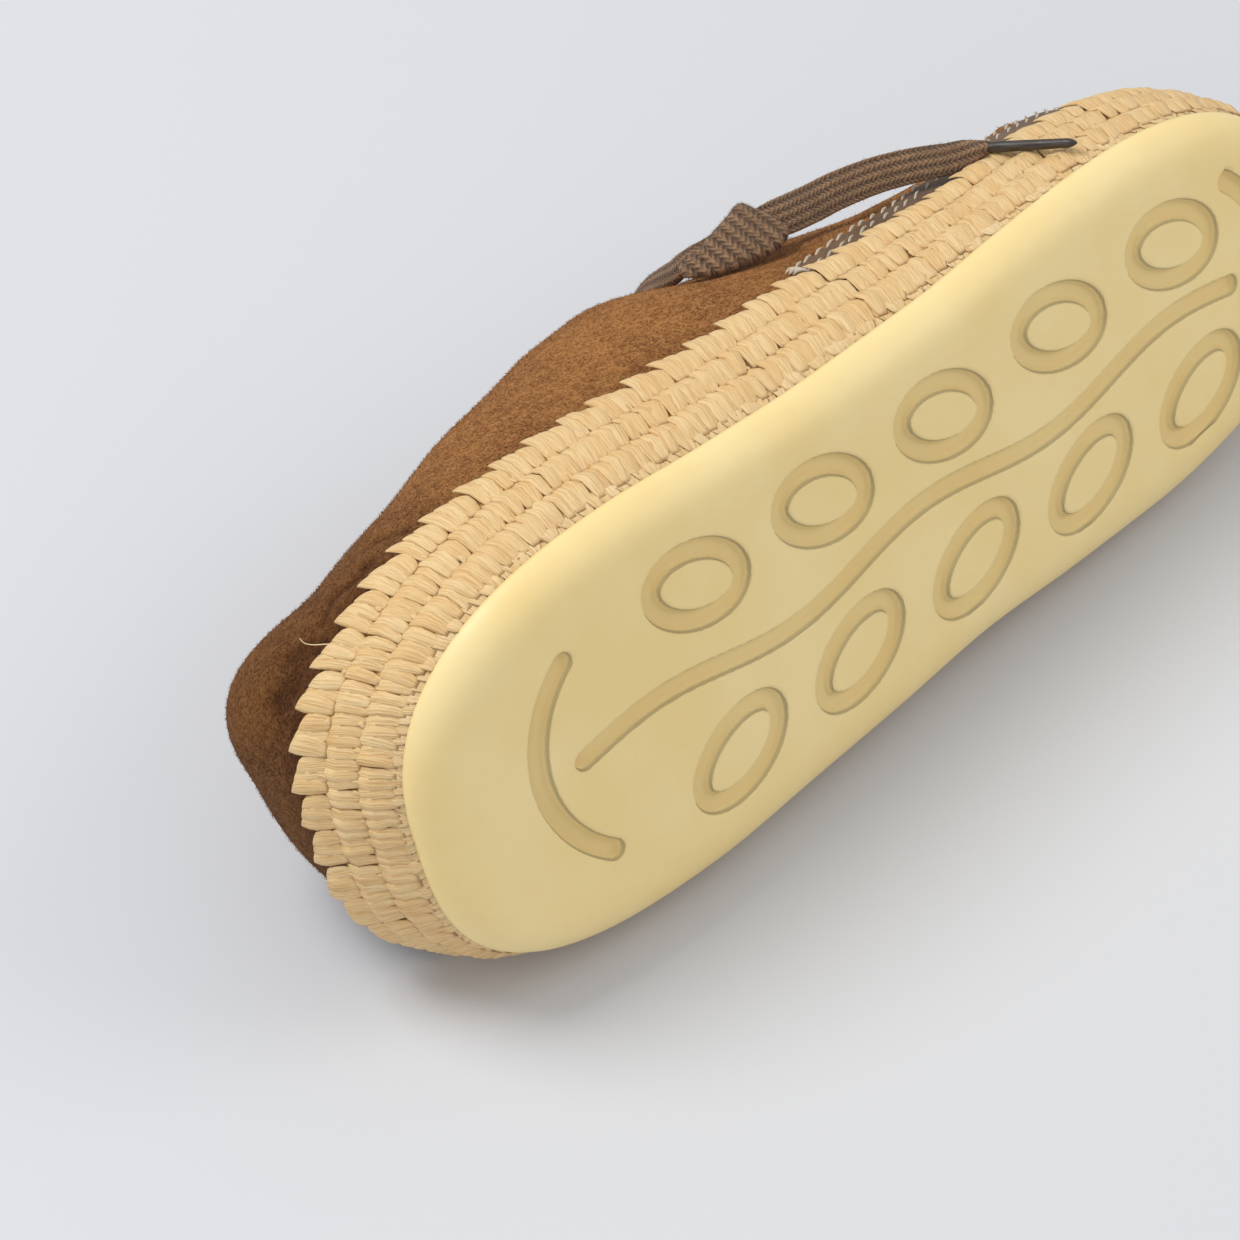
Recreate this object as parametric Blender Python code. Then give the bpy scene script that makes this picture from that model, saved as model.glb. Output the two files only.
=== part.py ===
"""Left low lace-up sneaker with a raffia-wrapped sole edge, lying on its inner side.

Sizes are in millimetres in the shoe's own frame: X runs from heel to toe, Y to the outer side and Z up
from the tread. Every mesh is made in metres, and the empty named shoe lays the shoe on its inner side.
"""
import math

import bmesh
import bpy
import numpy as np
from mathutils import Matrix, Vector

MM = 0.001
GAP = 0.3                # clearance between pieces that touch

# Sole: places along the shoe and heights above the tread
HEEL_X = 8.0             # back of the rubber edge
TOE_X = 284.3            # front of the rubber edge
HEEL_ROUND_X = 70.0      # the heel's rounding starts here
TOE_ROUND_X = 220.0      # the toe's rounding starts here
HEEL_ROUND = 2.4         # how square the heel is; 2 is an ellipse
TOE_ROUND_OUTER = 2.4
TOE_ROUND_INNER = 3.1
SPRING_X = 196.0         # the tread lifts from here to the toe
SPRING = 8.0             # lift of the tread plane at the toe
RIM_TOP = 8.2            # top of the rubber's rounded rim
PLINTH_TOP = 11.5        # top of the rubber inside the band
PLINTH_INSET = 3.4
CUP_WALL = 8.0           # rubber left round the hollow that takes the footbed
CUP_FLOOR = 5.5
RIM = {                  # rounded rim, from the flat tread outwards and up
    "inset": (12.0, 8.0, 4.4, 1.9, 0.5, 0.0),
    "height": (0.0, 0.5, 1.9, 4.0, 6.2, RIM_TOP),
}
EDGE = {                 # half widths of the rubber edge before the ends are rounded
    "along": (0, 45, 75, 100, 128, 160, 190, 220, 285),
    "outer": (45.0, 45.5, 46.3, 45.2, 43.5, 43.6, 45.3, 47.5, 47.5),
    "inner": (42.5, 42.5, 43.5, 43.3, 42.3, 44.4, 46.0, 47.7, 47.7),
}

# Grooves of the tread: a stem and leaves
GROOVE_DEPTH = 1.9
GROOVE_TOP = 5.8         # width at the tread face
GROOVE_FLOOR = 2.8       # width at the groove's floor
STEM_START = 41.0
STEM_END = 246.0
STEM_SWING = 3.0
STEM_BENDS = 2.5
LEAF_LONG = 13.0
LEAF_WIDE = 8.0
LEAF_TILT = 24.0         # degrees outwards from the stem
LEAVES = {"along": (56, 94, 132, 170, 208), "across": (19.4, 19.8, 19.0, 20.0, 22.0)}
TOE_ARC = {"along": 226.0, "radius": 31.0, "sweep": 52.0}
HEEL_ARC = {"along": 62.0, "radius": 36.0, "sweep": 44.0}

# Raffia band round the sole edge
BAND_FOOT = RIM_TOP + GAP
BAND_TOP = 35.5
BAND_WALL = 3.1          # thickness at its foot and at its tooth tips
BAND_BULGE = 1.2
COURSES = 4
STRIP_RISE = 1.1         # how far a raised strip stands out
TEETH = 72
TOOTH_DEPTH = 3.0
LEAN = {                 # how far the band's top edge stands out past the rubber edge
    "along": (0, 60, 88, 110, 128, 145, 200, 240, 270, 285),
    "outer": (-1.0, -2.0, -1.8, 1.0, 3.5, 5.2, 5.6, 4.6, 4.8, 8.0),
    "inner": (-1.0, -2.0, -2.0, -1.6, -1.2, -1.0, -1.0, 0.8, 5.0, 8.0),
}

# Upper: a wall up to the band's top edge, then an arch to the ridge line over the foot
WALL = 2.8               # suede with its lining
UPPER_FOOT = PLINTH_TOP + GAP
UPPER_INSET = PLINTH_INSET + 0.3
RIDGE_START = 62.0       # ridge place that the heel's back leans to
RIDGE_END = 253.0        # ridge place that the toe's front leans to
RIDGE_Y = -3.0           # the ridge lies a little to the inner side
RIDGE = {
    "along": (62, 110, 135, 150, 165, 182, 200, 220, 240, 253),
    "height": (110.0, 106.0, 105.0, 103.0, 100.0, 96.0, 92.0, 89.0, 86.5, 85.0),
}
ARCH = {                 # fullness squares the arch; slump leans its wall towards the foot
    "along": (0, 25, 45, 65, 90, 113, 135, 158, 172, 190, 210, 240, 262, 276, 284),
    "full_outer": (2.4, 2.1, 2.0, 2.0, 2.0, 2.0, 2.2, 3.1, 3.6, 2.75, 2.25, 1.98, 1.92, 2.5, 4.0),
    "full_inner": (2.4, 2.1, 2.0, 2.0, 2.0, 2.0, 2.0, 2.1, 2.3, 2.4, 2.5, 2.6, 2.15, 2.05, 2.7),
    "slump_outer": (0.08, 0.32, 0.48, 0.50, 0.34, 0.14, 0.04, 0, 0, 0, 0, 0, 0, 0, 0),
    "slump_inner": (0.08, 0.22, 0.34, 0.36, 0.30, 0.20, 0.08, 0.04, 0.04, 0.04, 0.04, 0.04, 0.02, 0, 0),
}
COLLAR = {               # height of the topline
    "along": (0, 20, 45, 70, 88, 96, 104, 112, 285),
    "height": (78.0, 71.0, 60.0, 57.0, 60.0, 67.0, 82.0, 140.0, 140.0),
}
THROAT_X = 183.0         # the throat is open behind this place
THROAT_ROUND = 16.0      # length over which it opens to its full width
THROAT_HALF = 12.0       # half of the throat's width
THROAT_REAR = 96.0       # behind this place the collar alone ends the upper

# Heel counter, tongue, insole
COUNTER_GAP_ABOVE_BAND = 0.9
COUNTER_WALL = 1.1
COUNTER_FRONT = 130.0
COUNTER_EDGE = {"along": (0, 40, 82, 112, 130), "height": (62.0, 53.5, 46.5, 42.5, 39.8)}
TONGUE_REAR = 90.0
TONGUE_FRONT = 205.0
TONGUE = {
    "along": (90, 96, 102, 112, 128, 150, 168, 205),
    "half": (7.5, 11.0, 12.4, 13.0, 17.5, 18.5, 15.5, 12.0),
}
TONGUE_WALL = 3.0
TONGUE_GAP = 1.4         # clear of the facets of the wall over it
INSOLE_THICK = 9.0       # a thick moulded footbed
INSOLE_INSET = UPPER_INSET + WALL + 1.2

# Lacing
EYELETS_ALONG = (172.0, 157.0, 141.0, 125.0)
EYELET_FROM_RIDGE = 19.0
EYELET_RADIUS = 2.3
LACE_WIDE = 8.5
LACE_THICK = 1.5
CORD_DIAMETER = 3.2
LEAD_ROUTE = (           # from the last outer eyelet down the outer side to the knot
    (135.0, 17.2, 98.45),
    (134.1, 21.8, 96.75),
    (133.5, 28.3, 91.1),
    (134.0, 33.3, 84.0),
    (134.4, 37.4, 77.5),
    (134.5, 41.1, 73.0),
    (132.6, 43.7, 69.1),
)
KNOT_CENTRE = (123.4, 44.6, 64.2)
KNOT_AXES = (9.6, 5.2, 5.6)     # half length along the lace, half depth, half width
END_ROUTE = (            # from the knot along the collar and over the band's edge to the tip
    (114.6, 45.2, 59.6),
    (107.0, 45.0, 58.6),
    (99.5, 45.3, 57.4),
    (92.0, 45.8, 53.6),
    (85.5, 46.4, 47.6),
    (80.0, 47.2, 39.8),
    (75.6, 48.3, 31.0),
)
TIP_END = (68.0, 50.2, 11.0)
TIP_RADIUS = 1.2

# The shoe lies on its inner side: turns and place of the shoe's own frame
LIE_ROLL = 15.4
LIE_PITCH = 2.28
LIE_PLACE = (0.149728, -0.046124, 0.04672)


def between_rows(table, column, along):
    """Smooth value of a table's column at places along the shoe, with no overshoot between its rows."""
    x = np.array(table["along"], float)
    y = np.array(table[column], float)
    at = np.clip(np.asarray(along, float), x[0], x[-1])
    step = np.diff(x)
    slope = np.diff(y) / step
    product = slope[:-1] * slope[1:]
    total = slope[:-1] + slope[1:]
    tangent = np.concatenate([slope[:1], np.zeros(len(x) - 2), slope[-1:]])
    tangent[1:-1] = np.where(product > 0, 2 * product / np.where(total == 0, 1, total), 0)
    i = np.clip(np.searchsorted(x, at, side="right") - 1, 0, len(x) - 2)
    t = (at - x[i]) / step[i]
    start = (1 + 2 * t) * (1 - t) ** 2 * y[i] + t * (1 - t) ** 2 * step[i] * tangent[i]
    end = t ** 2 * (3 - 2 * t) * y[i + 1] + t ** 2 * (t - 1) * step[i] * tangent[i + 1]
    return start + end


def edge_width(along, side):
    """Signed half width of the rubber edge; side is 1 on the outer side and -1 on the inner side."""
    toe = np.clip((along - TOE_ROUND_X) / (TOE_X - TOE_ROUND_X), 0, 1)
    heel = np.clip((HEEL_ROUND_X - along) / (HEEL_ROUND_X - HEEL_X), 0, 1)
    power = np.where(side > 0, TOE_ROUND_OUTER, TOE_ROUND_INNER)
    outer = between_rows(EDGE, "outer", along)
    inner = between_rows(EDGE, "inner", along)
    rounding = (1 - toe ** power) ** (1 / power) * (1 - heel ** HEEL_ROUND) ** (1 / HEEL_ROUND)
    return side * np.where(side > 0, outer, inner) * rounding


def place_at_turn(turn):
    """Place along the shoe for a turn of 0 at the heel's back to pi at the toe's front."""
    return HEEL_X + (TOE_X - HEEL_X) * (1 - np.cos(turn)) / 2


FINE_TURN = np.linspace(0, math.pi, 1601)
FINE_ALONG = place_at_turn(FINE_TURN)


def edge(along, side):
    """Point on the rubber edge and its outward direction in plan: x, y, out_x, out_y."""
    along = np.asarray(along, float)
    side = np.broadcast_to(np.asarray(side, float), along.shape)
    turn = np.arccos(np.clip(1 - 2 * (along - HEEL_X) / (TOE_X - HEEL_X), -1, 1))
    directions = []
    for fine_side in (1.0, -1.0):
        across = edge_width(FINE_ALONG, np.full(FINE_ALONG.shape, fine_side))
        run_x = np.gradient(FINE_ALONG)
        run_y = np.gradient(across)
        length = np.hypot(run_x, run_y)
        out_x = np.interp(turn, FINE_TURN, -fine_side * run_y / length)
        out_y = np.interp(turn, FINE_TURN, fine_side * run_x / length)
        directions.append((out_x, out_y))
    out_x = np.where(side > 0, directions[0][0], directions[1][0])
    out_y = np.where(side > 0, directions[0][1], directions[1][1])
    length = np.hypot(out_x, out_y)
    return along, edge_width(along, side), out_x / length, out_y / length


def lean_out(along, side):
    """How far the band's top edge stands out past the rubber edge on either side."""
    outer = between_rows(LEAN, "outer", along)
    inner = between_rows(LEAN, "inner", along)
    return np.where(np.asarray(side) > 0, outer, inner)


def spring(along):
    """Lift of the tread plane towards the toe."""
    share = np.clip((np.asarray(along, float) - SPRING_X) / (TOE_X - SPRING_X), 0, None)
    return SPRING * share ** 2


def half_stations(count):
    """Places from heel to toe, evenly spaced along the mean of the two sides."""
    ones = np.ones(FINE_ALONG.shape)
    mean = (edge_width(FINE_ALONG, ones) - edge_width(FINE_ALONG, -ones)) / 2
    run = np.concatenate([[0], np.cumsum(np.hypot(np.diff(FINE_ALONG), np.diff(mean)))])
    return np.interp(np.linspace(0, run[-1], count + 1), run, FINE_ALONG)


def ring_stations(count):
    """Places and sides round the shoe: heel, outer side, toe, inner side; 2 * count of them."""
    half = half_stations(count)
    along = np.concatenate([half, half[-2:0:-1]])
    side = np.concatenate([np.ones(count + 1), -np.ones(count - 1)])
    return along, side


def ring_level(along, side, outward, height):
    """Points of one level: the rubber edge moved outwards, at a height above the sprung tread."""
    x, y, out_x, out_y = edge(along, side)
    z = np.broadcast_to(height, x.shape) + spring(along)
    return np.stack([x + out_x * outward, y + out_y * outward, z], axis=-1)


def arch(along, side, angle):
    """Point on the upper's outside at an angle from the band's top edge (0) to the ridge (a right angle).

    The wall is a superellipse in the upright plane from the edge point to its ridge point, and slump
    mixes in a straight lean of the same height.
    """
    x, y, out_x, out_y = edge(along, side)
    outward = lean_out(along, side) - UPPER_INSET
    start_x = x + out_x * outward
    start_y = y + out_y * outward
    start_z = BAND_TOP + spring(along)
    ridge_x = RIDGE_START + (along - HEEL_X) / (TOE_X - HEEL_X) * (RIDGE_END - RIDGE_START)
    ridge_z = between_rows(RIDGE, "height", ridge_x)
    outer = np.asarray(side) > 0
    full_outer = between_rows(ARCH, "full_outer", along)
    full = np.where(outer, full_outer, between_rows(ARCH, "full_inner", along))
    slump_outer = between_rows(ARCH, "slump_outer", along)
    slump = np.where(outer, slump_outer, between_rows(ARCH, "slump_inner", along))
    rise = np.clip(np.sin(angle), 0, 1) ** (2 / full)
    share = slump * rise + (1 - slump) * (1 - np.clip(np.cos(angle), 0, 1) ** (2 / full))
    point_x = start_x + share * (ridge_x - start_x)
    point_y = start_y + share * (RIDGE_Y - start_y)
    return np.stack(np.broadcast_arrays(point_x, point_y, start_z + rise * (ridge_z - start_z)), axis=-1)


FINE_ANGLE = np.linspace(0, math.pi / 2, 721)


def angle_at_height(along, side, height):
    """Angle of the arch where it reaches a height."""
    z = arch(along, side, FINE_ANGLE)[:, 2]
    return float(np.interp(height, z, FINE_ANGLE))


def angle_from_ridge(along, side, distance):
    """Angle of the arch at a sideways distance from the ridge."""
    away = np.abs(arch(along, side, FINE_ANGLE)[:, 1] - RIDGE_Y)
    return float(np.interp(-distance, -away, FINE_ANGLE))


def throat_half(along):
    """Half width of the throat, closed at its rounded front."""
    share = np.clip((THROAT_X - along) / THROAT_ROUND, 0, 1)
    return THROAT_HALF * math.sqrt(1 - (1 - share) ** 2)


def top_angle(along, side):
    """Angle where the upper ends: at the collar's topline or, in front of it, at the throat's edge."""
    collar = angle_at_height(along, side, float(between_rows(COLLAR, "height", along)))
    if along < THROAT_REAR:
        return collar
    return min(collar, angle_from_ridge(along, side, throat_half(along)))


def even_angles(along, side, start, end, count):
    """Angles that divide a stretch of the arch into equal lengths."""
    angle = np.linspace(start, end, 400)
    points = arch(along, side, angle)
    run = np.concatenate([[0], np.cumsum(np.linalg.norm(np.diff(points, axis=0), axis=1))])
    return np.interp(np.linspace(0, run[-1], count), run, angle)


def grid_normals(grid):
    """Unit normals of a grid of points."""
    first = np.gradient(grid, axis=0)
    second = np.gradient(grid, axis=1)
    normal = np.cross(first, second)
    return normal / np.linalg.norm(normal, axis=2, keepdims=True)


def make_material(name, colour, roughness):
    """Principled material with one colour."""
    material = bpy.data.materials.new(name)
    material.use_nodes = True
    shader = material.node_tree.nodes["Principled BSDF"]
    shader.inputs["Base Color"].default_value = (*colour, 1.0)
    shader.inputs["Roughness"].default_value = roughness
    shader.inputs["Metallic"].default_value = 0.0
    return material


def add_object(name, data, material):
    """Link an object under the shoe's empty and give it its material."""
    item = bpy.data.objects.new(name, data)
    bpy.context.collection.objects.link(item)
    item.parent = SHOE
    if material is not None:
        data.materials.append(material)
    return item


def mesh_from(name, points, faces, closed):
    """Mesh in metres from points in millimetres; a closed one gets outward faces."""
    mesh = bpy.data.meshes.new(name)
    mesh.from_pydata([tuple(p) for p in np.asarray(points) * MM], [], [tuple(f) for f in faces])
    work = bmesh.new()
    work.from_mesh(mesh)
    if closed:
        bmesh.ops.recalc_face_normals(work, faces=work.faces)
    work.to_mesh(mesh)
    work.free()
    mesh.shade_smooth()
    mesh.set_sharp_from_angle(angle=math.radians(40))
    return mesh


def add_wall(item, thickness, offset):
    """Give a sheet its thickness: offset -1 grows it against its normals, 1 along them."""
    wall = item.modifiers.new("wall", "SOLIDIFY")
    wall.thickness = thickness * MM
    wall.offset = offset
    wall.use_even_offset = True
    wall.use_quality_normals = True


def ring_faces(levels, size):
    """Quads between closed rings of points that follow each other in the point list."""
    faces = []
    for level in range(levels - 1):
        for i in range(size):
            j = (i + 1) % size
            low = level * size
            high = low + size
            faces.append((low + i, high + i, high + j, low + j))
    return faces


def cap_faces(first, count):
    """Strips across a ring, from each station of the outer side to its partner on the inner side."""
    size = 2 * count
    faces = []
    for k in range(count):
        corners = (k, k + 1, (size - k - 1) % size, (size - k) % size)
        faces.append(tuple(dict.fromkeys(first + c for c in corners)))
    return faces


def grid_faces(rows, columns):
    """Quads of a grid whose points are listed row by row."""
    faces = []
    for r in range(rows - 1):
        for c in range(columns - 1):
            a = r * columns + c
            faces.append((a, a + columns, a + columns + 1, a + 1))
    return faces


def stacked_solid(name, count, levels):
    """Closed mesh of ring levels, each a pair of outward offset and height, capped below and above."""
    along, side = ring_stations(count)
    points = np.concatenate([ring_level(along, side, outward, height) for outward, height in levels])
    size = 2 * count
    faces = ring_faces(len(levels), size) + cap_faces(0, count) + cap_faces(size * (len(levels) - 1), count)
    return mesh_from(name, points, faces, closed=True)


def groove_solid(path, closed):
    """Points and faces of a groove's cutter: a four-sided bar along a path in the tread plane."""
    path = np.asarray(path, float)
    if closed:
        run = np.roll(path, -1, axis=0) - np.roll(path, 1, axis=0)
    else:
        run = np.gradient(path, axis=0)
    run = run / np.linalg.norm(run, axis=1, keepdims=True)
    across = np.stack([-run[:, 1], run[:, 0]], axis=1)
    flare = (GROOVE_TOP - GROOVE_FLOOR) / 2 / GROOVE_DEPTH
    below = 1.0
    sections = []
    for half, height in (
        (-GROOVE_TOP / 2 - flare * below, -below),
        (-GROOVE_FLOOR / 2, GROOVE_DEPTH),
        (GROOVE_FLOOR / 2, GROOVE_DEPTH),
        (GROOVE_TOP / 2 + flare * below, -below),
    ):
        plan = path + across * half
        z = height + spring(path[:, 0])
        sections.append(np.column_stack([plan, z]))
    points = np.stack(sections, axis=1).reshape(-1, 3)
    faces = []
    count = len(path)
    for i in range(count if closed else count - 1):
        j = (i + 1) % count
        for c in range(4):
            d = (c + 1) % 4
            faces.append((4 * i + c, 4 * i + d, 4 * j + d, 4 * j + c))
    if not closed:
        faces.append((0, 1, 2, 3))
        faces.append((4 * count - 4, 4 * count - 3, 4 * count - 2, 4 * count - 1))
    return points, faces


def stem_path():
    """Waving line along the middle of the tread."""
    x = np.linspace(STEM_START, STEM_END, 24)
    y = STEM_SWING * np.sin((x - STEM_START) / (STEM_END - STEM_START) * STEM_BENDS * 2 * math.pi)
    return np.column_stack([x, y])


def leaf_path(along, across):
    """Oval beside the stem, tilted outwards towards the toe; the sign of across sets its side."""
    turn = np.linspace(0, 2 * math.pi, 13, endpoint=False)
    tilt = math.copysign(math.radians(LEAF_TILT), across)
    long_way = LEAF_LONG * np.cos(turn)
    short_way = LEAF_WIDE * np.sin(turn)
    x = along + long_way * math.cos(tilt) - short_way * math.sin(tilt)
    y = across + long_way * math.sin(tilt) + short_way * math.cos(tilt)
    return np.column_stack([x, y])


def end_arc_path(arc, way):
    """Arc that follows the toe (way 1) or the heel (way -1)."""
    turn = np.radians(np.linspace(-arc["sweep"], arc["sweep"], 11))
    x = arc["along"] + way * arc["radius"] * np.cos(turn)
    return np.column_stack([x, arc["radius"] * np.sin(turn)])


def make_outsole(material):
    """Rubber sole: rounded rim, ledge for the band, plinth inside the band, grooves in the tread."""
    levels = [(-inset, height) for inset, height in zip(RIM["inset"], RIM["height"])]
    cup = PLINTH_INSET + CUP_WALL
    levels += [(-PLINTH_INSET, RIM_TOP), (-PLINTH_INSET, PLINTH_TOP), (-cup, PLINTH_TOP), (-cup, CUP_FLOOR)]
    sole = add_object("outsole", stacked_solid("outsole", 36, levels), material)
    grooves = [groove_solid(stem_path(), False)]
    grooves.append(groove_solid(end_arc_path(TOE_ARC, 1), False))
    grooves.append(groove_solid(end_arc_path(HEEL_ARC, -1), False))
    for along, across in zip(LEAVES["along"], LEAVES["across"]):
        grooves.append(groove_solid(leaf_path(along, across), True))
        grooves.append(groove_solid(leaf_path(along, -across), True))
    points = []
    faces = []
    for groove_points, groove_faces in grooves:
        first = sum(len(p) for p in points)
        points.append(groove_points)
        faces += [tuple(first + v for v in face) for face in groove_faces]
    groove_mesh = mesh_from("tread_cutter", np.concatenate(points), faces, True)
    cutter = add_object("tread_cutter", groove_mesh, None)
    cutter.hide_render = True
    cutter.display_type = "WIRE"
    cut = sole.modifiers.new("tread", "BOOLEAN")
    cut.operation = "DIFFERENCE"
    cut.object = cutter


def make_band(material):
    """Raffia wall: courses of raised strips that alternate round the shoe, and a toothed top edge."""
    along, side = ring_stations(TEETH)
    wrap = np.where(np.arange(len(along)) % 2 == 0, 1.0, -1.0)
    lean = lean_out(along, side)
    tooth_top = np.where(wrap > 0, BAND_TOP, BAND_TOP - TOOTH_DEPTH)
    height_all = tooth_top - BAND_FOOT
    levels = []
    for half_course in range(2 * COURSES + 1):
        up = half_course / (2 * COURSES)
        course = half_course // 2
        middle = half_course % 2
        strip = STRIP_RISE * (0.55 + 0.45 * wrap * (-1) ** course) * middle
        outward = lean * up + BAND_BULGE * 4 * up * (1 - up) + strip
        levels.append((outward, BAND_FOOT + height_all * up))
    plinth_up = PLINTH_TOP + GAP
    inner_lean = lean * (tooth_top - plinth_up) / (BAND_TOP - plinth_up)
    levels.append((inner_lean - BAND_WALL, tooth_top))
    levels.append((np.full(len(along), -BAND_WALL), np.full(len(along), plinth_up)))
    levels.append((np.full(len(along), -BAND_WALL), np.full(len(along), BAND_FOOT)))
    points = np.concatenate([ring_level(along, side, outward, height) for outward, height in levels])
    faces = ring_faces(len(levels), len(along))
    last = (len(levels) - 1) * len(along)
    for i in range(len(along)):
        j = (i + 1) % len(along)
        faces.append((last + i, i, j, last + j))
    add_object("raffia_band", mesh_from("raffia_band", points, faces, True), material)


def make_upper(material):
    """Hollow suede upper: one sheet welded along the ridge in front of the throat, with wall thickness."""
    count = 36
    arch_levels = 8
    along, side = ring_stations(count)
    size = len(along)
    lean = lean_out(along, side)
    levels = [ring_level(along, side, -UPPER_INSET, UPPER_FOOT)]
    half_up = (UPPER_FOOT + BAND_TOP) / 2
    levels.append(ring_level(along, side, lean / 2 - UPPER_INSET, half_up))
    columns = []
    for a, s in zip(along, side):
        angles = even_angles(a, s, 0.0, top_angle(a, s), arch_levels)
        columns.append(arch(a, s, angles))
    for level in range(arch_levels):
        levels.append(np.array([column[level] for column in columns]))
    points = np.concatenate(levels)
    top = (len(levels) - 1) * size
    weld = {}
    for i in range(count + 1, size):
        if along[i] >= THROAT_X:
            weld[top + i] = top + size - i
    faces = []
    for face in ring_faces(len(levels), size):
        faces.append(tuple(dict.fromkeys(weld.get(v, v) for v in face)))
    used = sorted({v for face in faces for v in face})
    number = {v: n for n, v in enumerate(used)}
    faces = [tuple(number[v] for v in face) for face in faces]
    upper = add_object("upper", mesh_from("upper", points[used], faces, False), material)
    add_wall(upper, WALL, -1)
    for place in EYELETS_ALONG:
        for s in (1, -1):
            cut_eyelet(upper, place, s)


def eyelet_frame(place, side):
    """Point of an eyelet on the upper's outside and the outward direction there."""
    angle = angle_from_ridge(place, side, EYELET_FROM_RIDGE)
    point = arch(place, side, angle)
    along_run = arch(place + 1, side, angle) - arch(place - 1, side, angle)
    up_run = arch(place, side, angle + 0.01) - arch(place, side, angle - 0.01)
    out = np.cross(up_run, along_run) * side
    return point, out / np.linalg.norm(out)


def cut_eyelet(upper, place, side):
    """Punch one lace hole through the upper's wall."""
    point, out = eyelet_frame(place, side)
    mesh = bpy.data.meshes.new("eyelet_cutter")
    work = bmesh.new()
    radius = EYELET_RADIUS * MM
    bmesh.ops.create_cone(
        work, cap_ends=True, segments=8, radius1=radius, radius2=radius, depth=8 * MM
    )
    turn = Vector((0, 0, 1)).rotation_difference(Vector(out)).to_matrix().to_4x4()
    bmesh.ops.transform(work, matrix=Matrix.Translation(Vector(point * MM)) @ turn, verts=work.verts)
    work.to_mesh(mesh)
    work.free()
    cutter = add_object("eyelet_cutter", mesh, None)
    cutter.hide_render = True
    cutter.display_type = "WIRE"
    cut = upper.modifiers.new("eyelet", "BOOLEAN")
    cut.operation = "DIFFERENCE"
    cut.object = cutter


def add_sheet(name, grid, outward, thickness, material):
    """Solid sheet that lies a distance outside the upper's own surface, given as a grid of its points."""
    normal = grid_normals(grid)
    if normal[len(grid) // 2, grid.shape[1] // 2] @ (grid.mean(axis=(0, 1)) - (150, 0, 30)) < 0:
        grid = grid[:, ::-1]
        normal = -normal[:, ::-1]
    moved = grid + normal * outward
    faces = grid_faces(grid.shape[0], grid.shape[1])
    sheet = add_object(name, mesh_from(name, moved.reshape(-1, 3), faces, False), material)
    add_wall(sheet, abs(thickness), math.copysign(1, thickness))


def over_ridge(place, half_width, count):
    """Points across the upper at one place, from the outer side over the ridge to the inner side."""
    outer = even_angles(place, 1, angle_from_ridge(place, 1, half_width), math.pi / 2, count)
    inner = even_angles(place, -1, angle_from_ridge(place, -1, half_width), math.pi / 2, count)
    return np.concatenate([arch(place, 1, outer), arch(place, -1, inner)[-2::-1]])


def make_tongue(material):
    """Tongue under the throat, cut from the upper's own surface and moved inside its wall."""
    places = np.linspace(TONGUE_REAR, TONGUE_FRONT, 11)
    grid = np.array([over_ridge(p, float(between_rows(TONGUE, "half", p)), 5) for p in places])
    add_sheet("tongue", grid, -(WALL + TONGUE_GAP), -TONGUE_WALL, material)


def make_counter(material):
    """Leather counter round the heel, above the band, with an upper edge that rises to the back."""
    half = half_stations(36)
    half = half[half < COUNTER_FRONT]
    along = np.concatenate([[COUNTER_FRONT], half[::-1], half[1:], [COUNTER_FRONT]])
    side = np.concatenate([np.ones(len(half) + 1), -np.ones(len(half))])
    rows = []
    for a, s in zip(along, side):
        low = angle_at_height(a, s, BAND_TOP + float(spring(a)) + COUNTER_GAP_ABOVE_BAND)
        high = angle_at_height(a, s, float(between_rows(COUNTER_EDGE, "height", a)))
        rows.append(arch(a, s, even_angles(a, s, low, high, 4)))
    add_sheet("heel_counter", np.array(rows), GAP, COUNTER_WALL, material)


def make_insole(material):
    """Moulded footbed: it fills the sole's hollow and spreads over the plinth inside the upper's foot."""
    cup = PLINTH_INSET + CUP_WALL + 2 * GAP
    step = PLINTH_TOP + GAP
    top = step + INSOLE_THICK
    levels = [(-cup, CUP_FLOOR + GAP), (-cup, step), (-INSOLE_INSET, step)]
    levels += [(-INSOLE_INSET, top - 1.0), (-INSOLE_INSET - 1.4, top)]
    add_object("insole", stacked_solid("insole", 22, levels), material)


def make_lace_bars(material):
    """Lace across the throat at the first three pairs of eyelets."""
    for name, place in zip(("front", "middle", "rear"), EYELETS_ALONG):
        places = np.linspace(place - LACE_WIDE / 2, place + LACE_WIDE / 2, 3)
        grid = np.array([over_ridge(p, EYELET_FROM_RIDGE + 3.0, 7) for p in places])
        add_sheet("lace_bar_" + name, grid, 0.5, LACE_THICK, material)


def smooth_route(route, spacing):
    """Points at an even spacing on a smooth curve through a route's own points."""
    route = np.array(route, float)
    before = np.concatenate([[2 * route[0] - route[1]], route, [2 * route[-1] - route[-2]]])
    t = np.linspace(0, 1, 24, endpoint=False)[:, None]
    pieces = []
    for a, b, c, d in zip(before, before[1:], before[2:], before[3:]):
        bend = (2 * a - 5 * b + 4 * c - d) * t ** 2 + (3 * b - a - 3 * c + d) * t ** 3
        pieces.append(b + 0.5 * ((c - a) * t + bend))
    fine = np.concatenate(pieces + [route[-1:]])
    run = np.concatenate([[0], np.cumsum(np.linalg.norm(np.diff(fine, axis=0), axis=1))])
    count = max(3, round(run[-1] / spacing) + 1)
    at = np.linspace(0, run[-1], count)
    return np.stack([np.interp(at, run, fine[:, axis]) for axis in range(3)], axis=1)


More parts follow.
